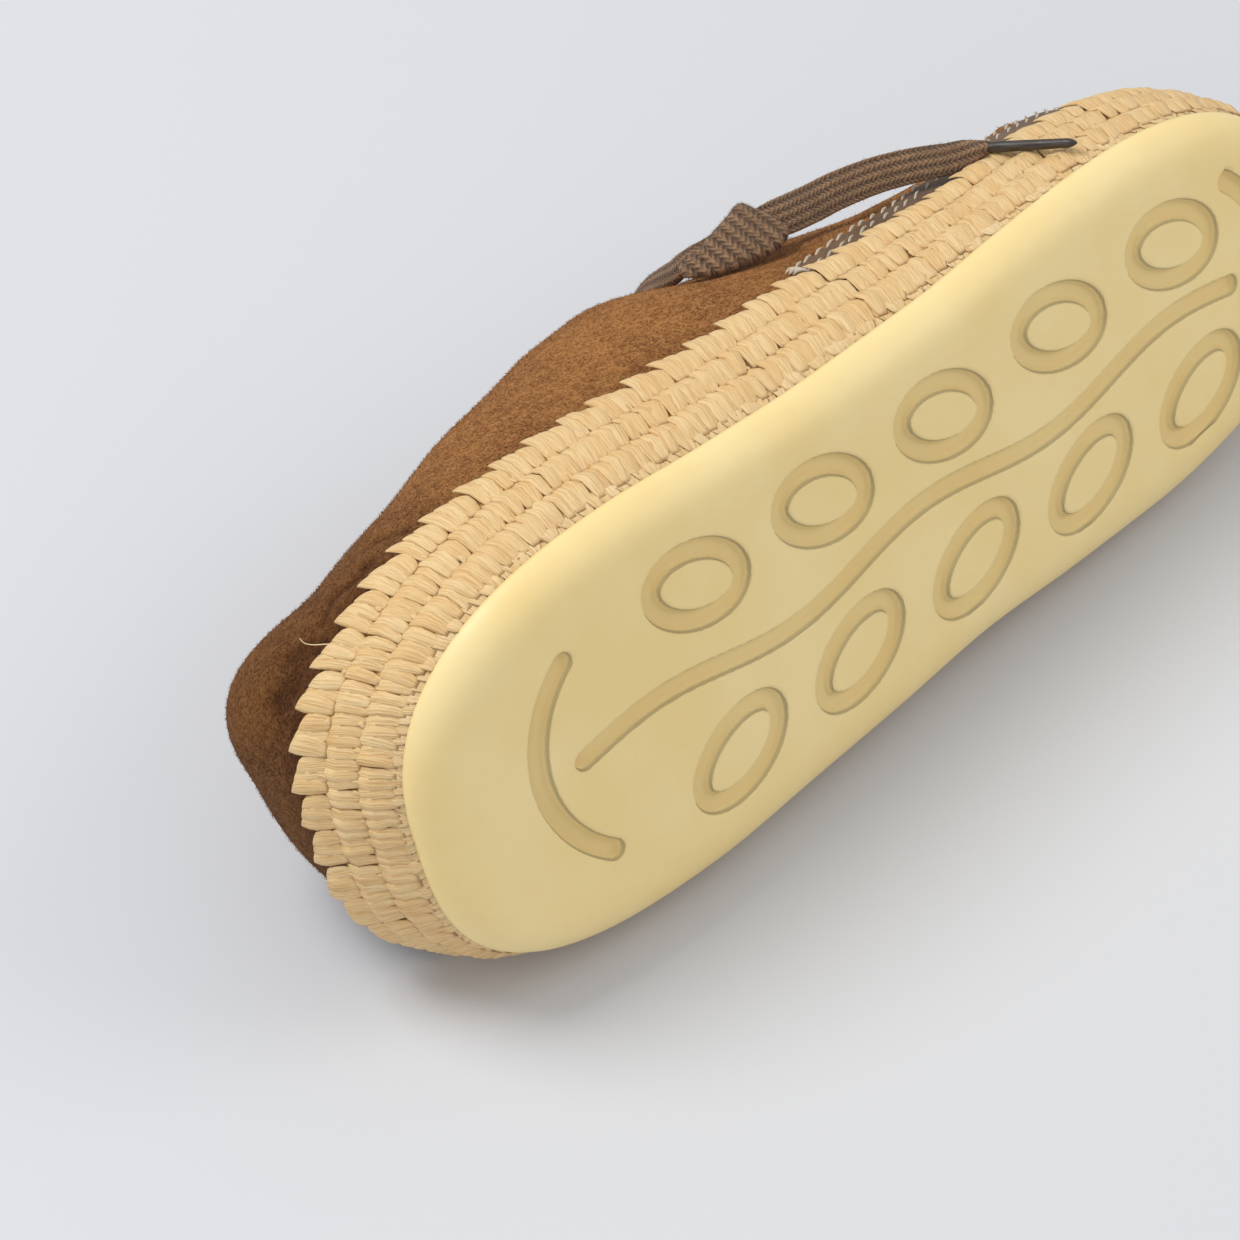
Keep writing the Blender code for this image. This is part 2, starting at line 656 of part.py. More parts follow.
def add_cord(name, route, material):
    """Round cord along a smooth curve through a route."""
    points = smooth_route(route, 2.2 * CORD_DIAMETER) * MM
    curve = bpy.data.curves.new(name, "CURVE")
    curve.dimensions = "3D"
    curve.bevel_depth = CORD_DIAMETER / 2 * MM
    curve.bevel_resolution = 2
    curve.use_fill_caps = True
    spline = curve.splines.new("POLY")
    spline.points.add(len(points) - 1)
    for target, point in zip(spline.points, points):
        target.co = (*point, 1.0)
    add_object(name, curve, material)


def make_knot(material):
    """Knot in the free lace end: a flattened lump along the lace's own direction."""
    run = Vector(END_ROUTE[0]) - Vector(LEAD_ROUTE[-1])
    run.normalize()
    depth = Vector((0.0, 1.0, 0.35))
    depth = (depth - run * depth.dot(run)).normalized()
    wide = run.cross(depth)
    frame = Matrix((run, depth, wide)).transposed().to_4x4()
    stretch = Matrix.Diagonal((*(Vector(KNOT_AXES) * MM), 1.0))
    mesh = bpy.data.meshes.new("lace_knot")
    work = bmesh.new()
    bmesh.ops.create_icosphere(work, subdivisions=2, radius=1.0)
    place = Matrix.Translation(Vector(KNOT_CENTRE) * MM)
    bmesh.ops.transform(work, matrix=place @ frame @ stretch, verts=work.verts)
    work.to_mesh(mesh)
    work.free()
    mesh.shade_smooth()
    add_object("lace_knot", mesh, material)


def make_tip(material):
    """Hard tip on the lace's free end."""
    start = Vector(END_ROUTE[-1])
    run = Vector(TIP_END) - start
    length = run.length
    run.normalize()
    mesh = bpy.data.meshes.new("lace_tip")
    work = bmesh.new()
    radius = TIP_RADIUS * MM
    bmesh.ops.create_cone(
        work, cap_ends=True, segments=10, radius1=radius, radius2=0.75 * radius, depth=length * MM
    )
    turn = Vector((0, 0, 1)).rotation_difference(run).to_matrix().to_4x4()
    centre = start + run * (length / 2 + GAP)
    bmesh.ops.transform(work, matrix=Matrix.Translation(centre * MM) @ turn, verts=work.verts)
    work.to_mesh(mesh)
    work.free()
    mesh.shade_smooth()
    mesh.set_sharp_from_angle(angle=math.radians(40))
    add_object("lace_tip", mesh, material)


def lying_matrix():
    """Turn of the shoe onto its inner side: toe to -X, outer side up, tread to -Y and a little up."""
    side_up = Matrix(((-1, 0, 0), (0, 0, 1), (0, 1, 0))).to_4x4()
    roll = Matrix.Rotation(math.radians(-LIE_ROLL), 4, "X")
    pitch = Matrix.Rotation(math.radians(LIE_PITCH), 4, "Y")
    return Matrix.Translation(LIE_PLACE) @ pitch @ roll @ side_up


for old in list(bpy.data.objects):
    bpy.data.objects.remove(old, do_unlink=True)

SHOE = bpy.data.objects.new("shoe", None)
bpy.context.collection.objects.link(SHOE)

RUBBER = make_material("cream_rubber", (0.62, 0.50, 0.28), 0.55)
RAFFIA = make_material("raffia", (0.72, 0.52, 0.25), 0.65)
SUEDE = make_material("brown_suede", (0.22, 0.10, 0.035), 0.95)
LEATHER = make_material("dark_leather", (0.075, 0.05, 0.035), 0.6)
BOARD = make_material("insole_leather", (0.42, 0.30, 0.17), 0.7)
LACE = make_material("taupe_lace", (0.10, 0.065, 0.04), 0.85)
TIP = make_material("dark_tip", (0.04, 0.028, 0.02), 0.4)

make_outsole(RUBBER)
make_band(RAFFIA)
make_upper(SUEDE)
make_counter(LEATHER)
make_insole(BOARD)
make_tongue(SUEDE)
make_lace_bars(LACE)
add_cord("lace_lead", LEAD_ROUTE, LACE)
make_knot(LACE)
add_cord("lace_end", END_ROUTE, LACE)
make_tip(TIP)
SHOE.matrix_world = lying_matrix()
bpy.context.view_layer.update()
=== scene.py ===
"""Looks of the left suede sneaker with a raffia-wrapped sole edge, lying on its inner side.

Shapes are worked out in millimetres in the shoe's own frame, with X from heel to toe, Y to the outer side
and Z up from the tread, and are then laid on the floor in metres, as the solids are.
"""
import math

import bpy
import numpy as np
from mathutils import Matrix


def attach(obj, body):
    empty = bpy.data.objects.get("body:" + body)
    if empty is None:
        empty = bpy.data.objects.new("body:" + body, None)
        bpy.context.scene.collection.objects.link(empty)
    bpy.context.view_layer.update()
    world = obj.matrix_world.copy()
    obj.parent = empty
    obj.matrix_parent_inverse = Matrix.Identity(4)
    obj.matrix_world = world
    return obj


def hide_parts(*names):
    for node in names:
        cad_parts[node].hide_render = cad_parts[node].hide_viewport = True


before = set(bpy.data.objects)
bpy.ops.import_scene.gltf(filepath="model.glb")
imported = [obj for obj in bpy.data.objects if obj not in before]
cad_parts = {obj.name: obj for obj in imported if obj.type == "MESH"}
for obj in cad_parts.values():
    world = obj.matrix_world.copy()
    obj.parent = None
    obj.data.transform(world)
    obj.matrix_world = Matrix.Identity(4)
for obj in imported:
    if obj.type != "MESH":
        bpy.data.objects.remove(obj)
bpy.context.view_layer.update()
MM = 0.001

# Sizes of the solids
HEEL_X = 8.0
TOE_X = 284.3
HEEL_ROUND_X = 70.0
TOE_ROUND_X = 220.0
HEEL_ROUND = 2.4
TOE_ROUND_OUTER = 2.4
TOE_ROUND_INNER = 3.1
SPRING_X = 196.0
SPRING = 8.0
RIM_TOP = 8.2
PLINTH_TOP = 11.5
PLINTH_INSET = 3.4
CUP_WALL = 8.0
CUP_FLOOR = 5.5
RIM = {
    "along": (0.0, 1.0, 2.0, 3.0, 4.0, 5.0),
    "inset": (12.0, 8.0, 4.4, 1.9, 0.5, 0.0),
    "height": (0.0, 0.5, 1.9, 4.0, 6.2, RIM_TOP),
}
EDGE = {
    "along": (0, 45, 75, 100, 128, 160, 190, 220, 285),
    "outer": (45.0, 45.5, 46.3, 45.2, 43.5, 43.6, 45.3, 47.5, 47.5),
    "inner": (42.5, 42.5, 43.5, 43.3, 42.3, 44.4, 46.0, 47.7, 47.7),
}
GROOVE_DEPTH = 1.9
GROOVE_EDGE = 2.8        # half width where the tread face breaks
GROOVE_BED = 1.7         # half width of the flat floor
GROOVE_FAR = 6.0
STEM_START = 41.0
STEM_END = 246.0
STEM_SWING = 3.0
STEM_BENDS = 2.5
LEAF_LONG = 13.0
LEAF_WIDE = 8.0
LEAF_TILT = 24.0
LEAVES = {"along": (56, 94, 132, 170, 208), "across": (19.4, 19.8, 19.0, 20.0, 22.0)}
TOE_ARC = {"along": 226.0, "radius": 31.0, "sweep": 52.0}
HEEL_ARC = {"along": 62.0, "radius": 36.0, "sweep": 44.0}
BAND_FOOT = 8.5
BAND_TOP = 35.5
BAND_BULGE = 1.2
TEETH = 72
LEAN = {
    "along": (0, 60, 88, 110, 128, 145, 200, 240, 270, 285),
    "outer": (-1.0, -2.0, -1.8, 1.0, 3.5, 5.2, 5.6, 4.6, 4.8, 8.0),
    "inner": (-1.0, -2.0, -2.0, -1.6, -1.2, -1.0, -1.0, 0.8, 5.0, 8.0),
}
WALL = 2.8
UPPER_FOOT = 11.8
UPPER_INSET = 3.7
RIDGE_START = 62.0
RIDGE_END = 253.0
RIDGE_Y = -3.0
RIDGE = {
    "along": (62, 110, 135, 150, 165, 182, 200, 220, 240, 253),
    "height": (110.0, 106.0, 105.0, 103.0, 100.0, 96.0, 92.0, 89.0, 86.5, 85.0),
}
ARCH = {
    "along": (0, 25, 45, 65, 90, 113, 135, 158, 172, 190, 210, 240, 262, 276, 284),
    "full_outer": (2.4, 2.1, 2.0, 2.0, 2.0, 2.0, 2.12, 3.15, 3.2, 2.8, 2.42, 1.84, 1.76, 2.2, 2.5),
    "full_inner": (2.4, 2.1, 2.0, 2.0, 2.0, 2.0, 2.0, 2.1, 2.3, 2.4, 2.5, 2.5, 2.1, 1.72, 2.5),
    "slump_outer": (0.08, 0.32, 0.48, 0.50, 0.34, 0.14, 0.04, 0, 0, 0, 0, 0, 0, 0, 0),
    "slump_inner": (0.08, 0.22, 0.34, 0.36, 0.30, 0.20, 0.08, 0.04, 0.04, 0.04, 0.04, 0.04, 0.02, 0, 0),
}
COLLAR = {
    "along": (0, 20, 45, 70, 88, 96, 104, 112, 285),
    "height": (78.0, 71.0, 60.0, 57.0, 60.0, 67.0, 82.0, 140.0, 140.0),
}
THROAT_X = 183.0
THROAT_ROUND = 16.0
THROAT_HALF = 12.0
THROAT_REAR = 96.0
COUNTER_FRONT = 130.0
COUNTER_WALL = 1.1
COUNTER_EDGE = {"along": (0, 40, 82, 112, 130), "height": (62.0, 54.0, 48.2, 44.6, 41.8)}
STITCH_GAP = 3.8         # between the two rows of stitches
TONGUE_REAR = 90.0
TONGUE_FRONT = 205.0
TONGUE = {
    "along": (90, 96, 102, 112, 128, 150, 168, 205),
    "half": (11.0, 11.8, 12.5, 13.0, 17.5, 18.5, 15.5, 12.0),
}
TONGUE_WALL = 3.0
TONGUE_END = 10.5        # how far back the middle of its rear end is taken from
TONGUE_GAP = 1.4
INSOLE_THICK = 9.0
INSOLE_INSET = 7.7
EYELETS_ALONG = (172.0, 157.0, 141.0)   # of the three lace bars
EYELET_FROM_RIDGE = 19.0
LACE_WIDE = 8.5
LACE_THICK = 1.5
LEAD_ROUTE = (
    (135.0, 17.2, 98.45),
    (134.1, 21.8, 96.75),
    (133.5, 28.3, 91.1),
    (134.0, 33.3, 84.0),
    (134.4, 37.4, 77.5),
    (134.5, 41.1, 73.0),
    (132.6, 43.7, 69.1),
)
KNOT_CENTRE = (123.4, 44.6, 64.2)
END_ROUTE = (
    (114.6, 45.2, 59.6),
    (107.0, 45.0, 58.6),
    (99.5, 45.3, 57.4),
    (92.0, 45.8, 53.6),
    (85.5, 46.4, 47.6),
    (80.0, 47.2, 39.8),
    (75.6, 48.3, 31.0),
)
TIP_END = (68.0, 50.2, 11.0)
TIP_RADIUS = 1.2

# How the shoe lies: its turns, and its place in metres
LIE_ROLL = math.radians(-15.4)
LIE_PITCH = math.radians(2.28)
LIE_PLACE = np.array((0.149728, -0.046124, 0.04672))
SIDE_UP = np.array(((-1.0, 0, 0), (0, 0, 1), (0, 1, 0)))
ROLL = np.array((
    (1, 0, 0),
    (0, math.cos(LIE_ROLL), -math.sin(LIE_ROLL)),
    (0, math.sin(LIE_ROLL), math.cos(LIE_ROLL)),
))
PITCH = np.array((
    (math.cos(LIE_PITCH), 0, math.sin(LIE_PITCH)),
    (0, 1, 0),
    (-math.sin(LIE_PITCH), 0, math.cos(LIE_PITCH)),
))
LIE_TURN = PITCH @ ROLL @ SIDE_UP

FLOOR_PRESS = 0.0005     # height in metres under which points are pressed to the floor

# Camera
CAMERA_PLACE = (-0.603443, -0.632709, 0.909385)
CAMERA_RIGHT = (0.700944, -0.710223, -0.065378)
CAMERA_DOWN = (-0.546911, -0.476397, -0.688437)
CAMERA_FORWARD = (0.457795, 0.518305, -0.722344)
CAMERA_LENS = 159.68
CAMERA_SENSOR = 36.0
CAMERA_NEAR = 0.05
CAMERA_FAR = 20.0


def laid(points):
    """Points of the shoe's frame in millimetres, turned onto the shoe's inner side, in metres."""
    return np.asarray(points, float) * MM @ LIE_TURN.T + LIE_PLACE


# Curves and tables of the shoe

def between_rows(table, column, along, key="along"):
    """Smooth value of a table's column, as a monotone cubic between its rows."""
    x = np.array(table[key], float)
    y = np.array(table[column], float)
    at = np.clip(np.asarray(along, float), x[0], x[-1])
    step = np.diff(x)
    slope = np.diff(y) / step
    product = slope[:-1] * slope[1:]
    total = slope[:-1] + slope[1:]
    tangent = np.concatenate([slope[:1], np.zeros(len(x) - 2), slope[-1:]])
    tangent[1:-1] = np.where(product > 0, 2 * product / np.where(total == 0, 1, total), 0)
    i = np.clip(np.searchsorted(x, at, side="right") - 1, 0, len(x) - 2)
    t = (at - x[i]) / step[i]
    start = (1 + 2 * t) * (1 - t) ** 2 * y[i] + t * (1 - t) ** 2 * step[i] * tangent[i]
    end = t ** 2 * (3 - 2 * t) * y[i + 1] + t ** 2 * (t - 1) * step[i] * tangent[i + 1]
    return start + end


def smooth_step(low, high, value):
    """0 below low, 1 above high, and a smooth cubic between."""
    t = np.clip((value - low) / (high - low), 0, 1)
    return t * t * (3 - 2 * t)


def rise_and_fall(span, value):
    """0 outside a span of four places, 1 between its middle two, and a smooth cubic on each side."""
    return smooth_step(span[0], span[1], value) * (1 - smooth_step(span[2], span[3], value))


def full_turn(count):
    """Even angles round a circle."""
    return np.linspace(0, 2 * math.pi, count, endpoint=False)


def bar_section(count, across_power, up_power):
    """Places across and up round a bar's section, from -1 to 1: a superellipse of two powers."""
    turn = full_turn(count)
    across = np.sign(np.cos(turn)) * np.abs(np.cos(turn)) ** across_power
    return across, np.sign(np.sin(turn)) * np.abs(np.sin(turn)) ** up_power


def by_side(table, along, side, kind=""):
    """Smooth value of a table's outer or inner column of a kind, by the side of the shoe."""
    outer = between_rows(table, kind + "outer", along)
    return np.where(np.asarray(side) > 0, outer, between_rows(table, kind + "inner", along))


def unit(ways):
    """Directions with a length of one."""
    return ways / np.maximum(np.linalg.norm(ways, axis=-1, keepdims=True), 1e-9)


def run_of(path):
    """Length of a path up to each of its points."""
    return np.concatenate([[0], np.cumsum(np.linalg.norm(np.diff(path, axis=0), axis=1))])


def rows_at(at, run, table):
    """Rows of a table of points or directions at lengths along it, straight between its own rows."""
    return np.stack([np.interp(at, run, column) for column in table.T], axis=1)


def edge_width(along, side):
    """Signed half width of the rubber edge: a table's width, rounded at both ends by superellipses."""
    toe = np.clip((along - TOE_ROUND_X) / (TOE_X - TOE_ROUND_X), 0, 1)
    heel = np.clip((HEEL_ROUND_X - along) / (HEEL_ROUND_X - HEEL_X), 0, 1)
    power = np.where(side > 0, TOE_ROUND_OUTER, TOE_ROUND_INNER)
    rounding = (1 - toe ** power) ** (1 / power) * (1 - heel ** HEEL_ROUND) ** (1 / HEEL_ROUND)
    return side * by_side(EDGE, along, side) * rounding


FINE_TURN = np.linspace(0, math.pi, 1601)
FINE_ALONG = HEEL_X + (TOE_X - HEEL_X) * (1 - np.cos(FINE_TURN)) / 2
FINE_ANGLE = np.linspace(0, math.pi / 2, 361)


def edge(along, side):
    """Point on the rubber edge and its outward direction in plan: x, y, out_x, out_y."""
    along = np.asarray(along, float)
    side = np.broadcast_to(np.asarray(side, float), along.shape)
    turn = np.arccos(np.clip(1 - 2 * (along - HEEL_X) / (TOE_X - HEEL_X), -1, 1))
    run_x = np.gradient(FINE_ALONG)
    ways = []
    for fine_side in (1.0, -1.0):
        run_y = np.gradient(edge_width(FINE_ALONG, np.full(FINE_ALONG.shape, fine_side)))
        out = fine_side * np.array((-run_y, run_x)) / np.hypot(run_x, run_y)
        ways.append(np.array([np.interp(turn, FINE_TURN, row) for row in out]))
    out_x, out_y = np.where(side > 0, *ways)
    length = np.hypot(out_x, out_y)
    return along, edge_width(along, side), out_x / length, out_y / length


def spring(along):
    """Lift of the tread plane towards the toe, a parabola."""
    share = np.clip((np.asarray(along, float) - SPRING_X) / (TOE_X - SPRING_X), 0, None)
    return SPRING * share ** 2


def half_stations(count):
    """Places from heel to toe, evenly spaced along the mean of the two sides."""
    ones = np.ones(FINE_ALONG.shape)
    mean = (edge_width(FINE_ALONG, ones) - edge_width(FINE_ALONG, -ones)) / 2
    run = run_of(np.column_stack([FINE_ALONG, mean]))
    return np.interp(np.linspace(0, run[-1], count + 1), run, FINE_ALONG)


def ring_stations(count):
    """Places and sides round the shoe: heel, outer side, toe, inner side; 2 * count of them."""
    half = half_stations(count)
    along = np.concatenate([half, half[-2:0:-1]])
    side = np.concatenate([np.ones(count + 1), -np.ones(count - 1)])
    return along, side


def ring_level(along, side, outward, height):
    """Points of one level: the rubber edge moved outwards, at a height above the sprung tread."""
    x, y, out_x, out_y = edge(along, side)
    z = np.broadcast_to(height, x.shape) + spring(along)
    return np.stack([x + out_x * outward, y + out_y * outward, z], axis=-1)


def arch(along, side, angle):
    """Upper's outside from the band's top edge (angle 0) to the ridge (a right angle).

    The wall is a superellipse in the upright plane from the edge point to its ridge point, and slump mixes
    in a straight lean of the same height.
    """
    x, y, out_x, out_y = edge(along, side)
    outward = by_side(LEAN, along, side) - UPPER_INSET
    start_x = x + out_x * outward
    start_y = y + out_y * outward
    start_z = BAND_TOP + spring(along)
    ridge_x = RIDGE_START + (along - HEEL_X) / (TOE_X - HEEL_X) * (RIDGE_END - RIDGE_START)
    ridge_z = between_rows(RIDGE, "height", ridge_x)
    full = by_side(ARCH, along, side, "full_")
    slump = by_side(ARCH, along, side, "slump_")
    rise = np.clip(np.sin(angle), 0, 1) ** (2 / full)
    share = slump * rise + (1 - slump) * (1 - np.clip(np.cos(angle), 0, 1) ** (2 / full))
    point_x = start_x + share * (ridge_x - start_x)
    point_y = start_y + share * (RIDGE_Y - start_y)
    return np.stack(np.broadcast_arrays(point_x, point_y, start_z + rise * (ridge_z - start_z)), axis=-1)


def row_interp(target, x, y):
    """Straight interpolation in every row at once: y where the rising x of that row reaches its targets."""
    i = np.clip((x[:, None, :] < target[:, :, None]).sum(axis=2), 1, x.shape[1] - 1)
    low = np.take_along_axis(x, i - 1, 1)
    high = np.take_along_axis(x, i, 1)
    share = np.clip((target - low) / np.maximum(high - low, 1e-9), 0, 1)
    first = np.take_along_axis(y, i - 1, 1)
    return first + share * (np.take_along_axis(y, i, 1) - first)


def angle_at_height(along, side, height):
    """Angles of the arch where it reaches given heights."""
    z = arch(along[:, None], side[:, None], FINE_ANGLE)[..., 2]
    angles = np.broadcast_to(FINE_ANGLE, z.shape)
    return row_interp(np.broadcast_to(height, along.shape)[:, None], z, angles)[:, 0]


def angle_from_ridge(along, side, distance):
    """Angles of the arch at a sideways distance from the ridge."""
    away = np.abs(arch(along[:, None], side[:, None], FINE_ANGLE)[..., 1] - RIDGE_Y)
    angles = np.broadcast_to(FINE_ANGLE, away.shape)
    return row_interp(-np.broadcast_to(distance, along.shape)[:, None], -away, angles)[:, 0]


def even_angles(along, side, start, end, count):
    """Angles that divide a stretch of the arch into equal lengths, one row for each place."""
    fine = start[:, None] + (end - start)[:, None] * np.linspace(0, 1, 160)
    step = np.linalg.norm(np.diff(arch(along[:, None], side[:, None], fine), axis=1), axis=2)
    run = np.concatenate([np.zeros((len(along), 1)), np.cumsum(step, axis=1)], axis=1)
    return row_interp(run[:, -1:] * np.linspace(0, 1, count), run, fine)


def throat_half(along):
    """Half width of the throat, a circle's rounding at its closed front."""
    share = np.clip((THROAT_X - along) / THROAT_ROUND, 0, 1)
    return THROAT_HALF * np.sqrt(1 - (1 - share) ** 2)


def top_angle(along, side):
    """Angle where the upper ends: the collar's topline or, further ahead, the throat's edge if lower."""
    collar = angle_at_height(along, side, between_rows(COLLAR, "height", along))
    throat = angle_from_ridge(along, side, throat_half(along))
    return np.where(along < THROAT_REAR, collar, np.minimum(collar, throat))


def over_ridge(places, half_width, count):
    """Grid across the upper, a row for each place, from the outer side over the ridge to the inner side."""
    halves = []
    for side in (np.ones(places.shape), -np.ones(places.shape)):
        foot = angle_from_ridge(places, side, half_width)
        angles = even_angles(places, side, foot, np.full(places.shape, math.pi / 2), count)
        halves.append(arch(places[:, None], side[:, None], angles))
    return np.concatenate([halves[0], halves[1][:, -2::-1]], axis=1)


def grid_normals(grid):
    """Unit normals of a grid of points, from the cross product of its two runs."""
    return unit(np.cross(np.gradient(grid, axis=0), np.gradient(grid, axis=1)))


def smooth_route(route, spacing):
    """Points at an even spacing on the Catmull-Rom curve through a route's own points."""
    route = np.array(route, float)
    ends = np.concatenate([[2 * route[0] - route[1]], route, [2 * route[-1] - route[-2]]])
    t = np.linspace(0, 1, 24, endpoint=False)[None, :, None]
    a, b, c, d = (ends[i:len(ends) - 3 + i, None] for i in range(4))
    bend = (2 * a - 5 * b + 4 * c - d) * t ** 2 + (3 * b - a - 3 * c + d) * t ** 3
    fine = np.concatenate([(b + 0.5 * ((c - a) * t + bend)).reshape(-1, 3), route[-1:]])
    run = run_of(fine)
    at = np.linspace(0, run[-1], max(3, round(run[-1] / spacing) + 1))
    return rows_at(at, run, fine), run[-1]


# Meshes

def pressed(points):
    """Laid points; low ones are pressed to the floor by an exponential, never through it."""
    place = laid(points)
    low = place[:, 2] < FLOOR_PRESS
    place[low, 2] = FLOOR_PRESS * np.exp(place[low, 2] / FLOOR_PRESS - 1)
    return place


def grid_faces(rows, columns, wrap_columns=False, wrap_rows=False):
    """Quads of a grid whose points are listed row by row; either way may close on itself."""
    r = np.arange(rows if wrap_rows else rows - 1)[:, None]
    c = np.arange(columns if wrap_columns else columns - 1)[None, :]
    r2 = (r + 1) % rows
    c2 = (c + 1) % columns
    corners = np.broadcast_arrays(r * columns + c, r2 * columns + c, r2 * columns + c2, r * columns + c2)
    return np.stack(corners, axis=-1).reshape(-1, 4)


def add_item(name, data):
    """Object of some data, in the scene."""
    item = bpy.data.objects.new(name, data)
    bpy.context.collection.objects.link(item)
    return item


def put_mesh(name, points, faces, materials, uv=None, marks=None, caps=(), flip=False):
    """Mesh at the origin from points in the shoe's frame, with UVs and named values on its points."""
    mesh = bpy.data.meshes.new(name)
    face_list = np.asarray(faces).tolist() + [list(cap) for cap in caps]
    if flip:
        face_list = [face[::-1] for face in face_list]
    mesh.from_pydata(pressed(np.reshape(points, (-1, 3))).tolist(), [], face_list)
    if uv is not None:
        corner = np.empty(len(mesh.loops), int)
        mesh.loops.foreach_get("vertex_index", corner)
        runs = np.asarray(uv, float).reshape(-1, 2)
        mesh.uv_layers.new(name="run").data.foreach_set("uv", runs[corner].ravel())
    for mark, values in (marks or {}).items():
        layer = mesh.attributes.new(mark, "FLOAT", "POINT")
        layer.data.foreach_set("value", np.asarray(values, float).ravel())
    for material in materials:
        mesh.materials.append(material)
    mesh.shade_smooth()
    mesh.update()
    return add_item(name, mesh)


def put_tubes(name, points, material, uv=None, marks=None, flip=False):
    """Closed tubes, each a stack of rings: quads along every tube and a face on each of its ends."""
    count, rings, around = points.shape[:3]
    first = (np.arange(count) * rings * around)[:, None, None]
    faces = (grid_faces(rings, around, True) + first).reshape(-1, 4)
    ring = np.arange(around)
    ends = np.stack([ring, (rings * around - 1) - ring])
    caps = (ends + first).reshape(-1, around).tolist()
    return put_mesh(name, points, faces, [material], uv, marks, caps, flip)


def ring_floor(first, count, turned):
    """Faces that close a ring of 2 * count points straight across, from its outer to its inner side."""
    size = 2 * count
    strips = [(k, k + 1, size - k - 1, size - k) for k in range(1, count - 1)]
    strips += [(0, 1, size - 1), (count - 1, count, count + 1)]
    return [[first + k for k in (strip[::-1] if turned else strip)] for strip in strips]


def finish_piece(item, slot, *nodes):
    """The piece moves with the shoe and stands for CAD nodes, which are hidden; the slot is not used."""
    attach(item, "root")
    if nodes:
        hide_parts(*nodes)
    return item


def add_thickness(item, thickness, offset, rim):
    """Wall from a sheet with its edges rounded; the far side takes the next material."""
    wall = item.modifiers.new("wall", "SOLIDIFY")
    wall.thickness = thickness * MM
    wall.offset = offset
    wall.use_even_offset = True
    wall.use_quality_normals = True
    wall.material_offset = 1 if len(item.data.materials) > 1 else 0
    round_off = item.modifiers.new("rim", "BEVEL")
    round_off.width = rim * MM
    round_off.segments = 2
    round_off.limit_method = "ANGLE"
    round_off.angle_limit = math.radians(55)


# Materials

class Wire:
    """A shader socket: operators on it add Math nodes, and node() adds any other node to its tree."""

    def __init__(self, tree, socket=None):
        self.tree = tree
        self.socket = socket

    def node(self, kind, settings=None, inputs=None, output=0):
        """Any node by its type, with its settings first and then the values or wires of its sockets."""
        made = self.tree.nodes.new(kind)
        for key, value in (settings or {}).items():
            if key == "stops":
                ramp = made.color_ramp
                while len(ramp.elements) < len(value):
                    ramp.elements.new(0.5)
                for element, (place, colour) in zip(ramp.elements, value):
                    element.position = place
                    element.color = colour
            else:
                setattr(made, key, value)
        for key, value in (inputs or {}).items():
            if isinstance(value, Wire):
                self.tree.links.new(value.socket, made.inputs[key])
            else:
                made.inputs[key].default_value = value
        return Wire(self.tree, made.outputs[output])

    def math(self, operation, first, second=0.0):
        """Math node on one or two values."""
        return self.node("ShaderNodeMath", {"operation": operation}, {0: first, 1: second})

    def __add__(self, other):
        return self.math("ADD", self, other)

    def __radd__(self, other):
        return self.math("ADD", other, self)

    def __sub__(self, other):
        return self.math("SUBTRACT", self, other)

    def __rsub__(self, other):
        return self.math("SUBTRACT", other, self)

    def __mul__(self, other):
        return self.math("MULTIPLY", self, other)

    def __rmul__(self, other):
        return self.math("MULTIPLY", other, self)

    def between(self, low, high, first=0.0, second=1.0):
        """Smooth change from first to second as the value goes from low to high."""
        settings = {"interpolation_type": "SMOOTHSTEP"}
        inputs = {"Value": self, "From Min": low, "From Max": high, "To Min": first, "To Max": second}
        return self.node("ShaderNodeMapRange", settings, inputs)

    def blend(self, first, second, kind="MIX"):
        """Mix of two colours by this value."""
        settings = {"data_type": "RGBA", "blend_type": kind}
        return self.node("ShaderNodeMix", settings, {0: self, 6: first, 7: second}, 2)


def rgb(red, green, blue):
    """Linear colour from 8-bit screen values."""
    share = np.array((red, green, blue)) / 255
    linear = np.where(share <= 0.04045, share / 12.92, ((share + 0.055) / 1.055) ** 2.4)
    return (*(float(v) for v in linear), 1.0)


def new_material(name):
    """Material with a Principled shader: the material, a wire on its tree and the shader node."""
    material = bpy.data.materials.new(name)
    material.use_nodes = True
    tree = material.node_tree
    return material, Wire(tree), tree.nodes["Principled BSDF"]


def plug_in(start, shader, colour, roughness, height=None, depth=0.0, **constants):
    """Feed colour, roughness and a bump of a depth in millimetres to a shader; set its constants."""
    for socket, value in (("Base Color", colour), ("Roughness", roughness)):
        if isinstance(value, Wire):
            start.tree.links.new(value.socket, shader.inputs[socket])
        else:
            shader.inputs[socket].default_value = value
    if height is not None:
        inputs = {"Strength": 1.0, "Distance": depth * MM, "Height": height}
        bump = start.node("ShaderNodeBump", {}, inputs)
        start.tree.links.new(bump.socket, shader.inputs["Normal"])
    for socket, value in constants.items():
        shader.inputs[socket.replace("_", " ").title().replace("Ior", "IOR")].default_value = value


def object_noise(start, size, detail=2.0, rough=0.5, stretch=(1, 1, 1), turn=0.0):
    """Noise on Object coordinates whose lumps are about a size in millimetres."""
    place = start.node("ShaderNodeTexCoord", {}, {}, "Object")
    inputs = {"Vector": place, "Scale": stretch, "Rotation": (0.0, turn, 0.0)}
    turned = start.node("ShaderNodeMapping", {}, inputs)
    inputs = {"Vector": turned, "Scale": 1000.0 / size, "Detail": detail, "Roughness": rough}
    return start.node("ShaderNodeTexNoise", {}, inputs)


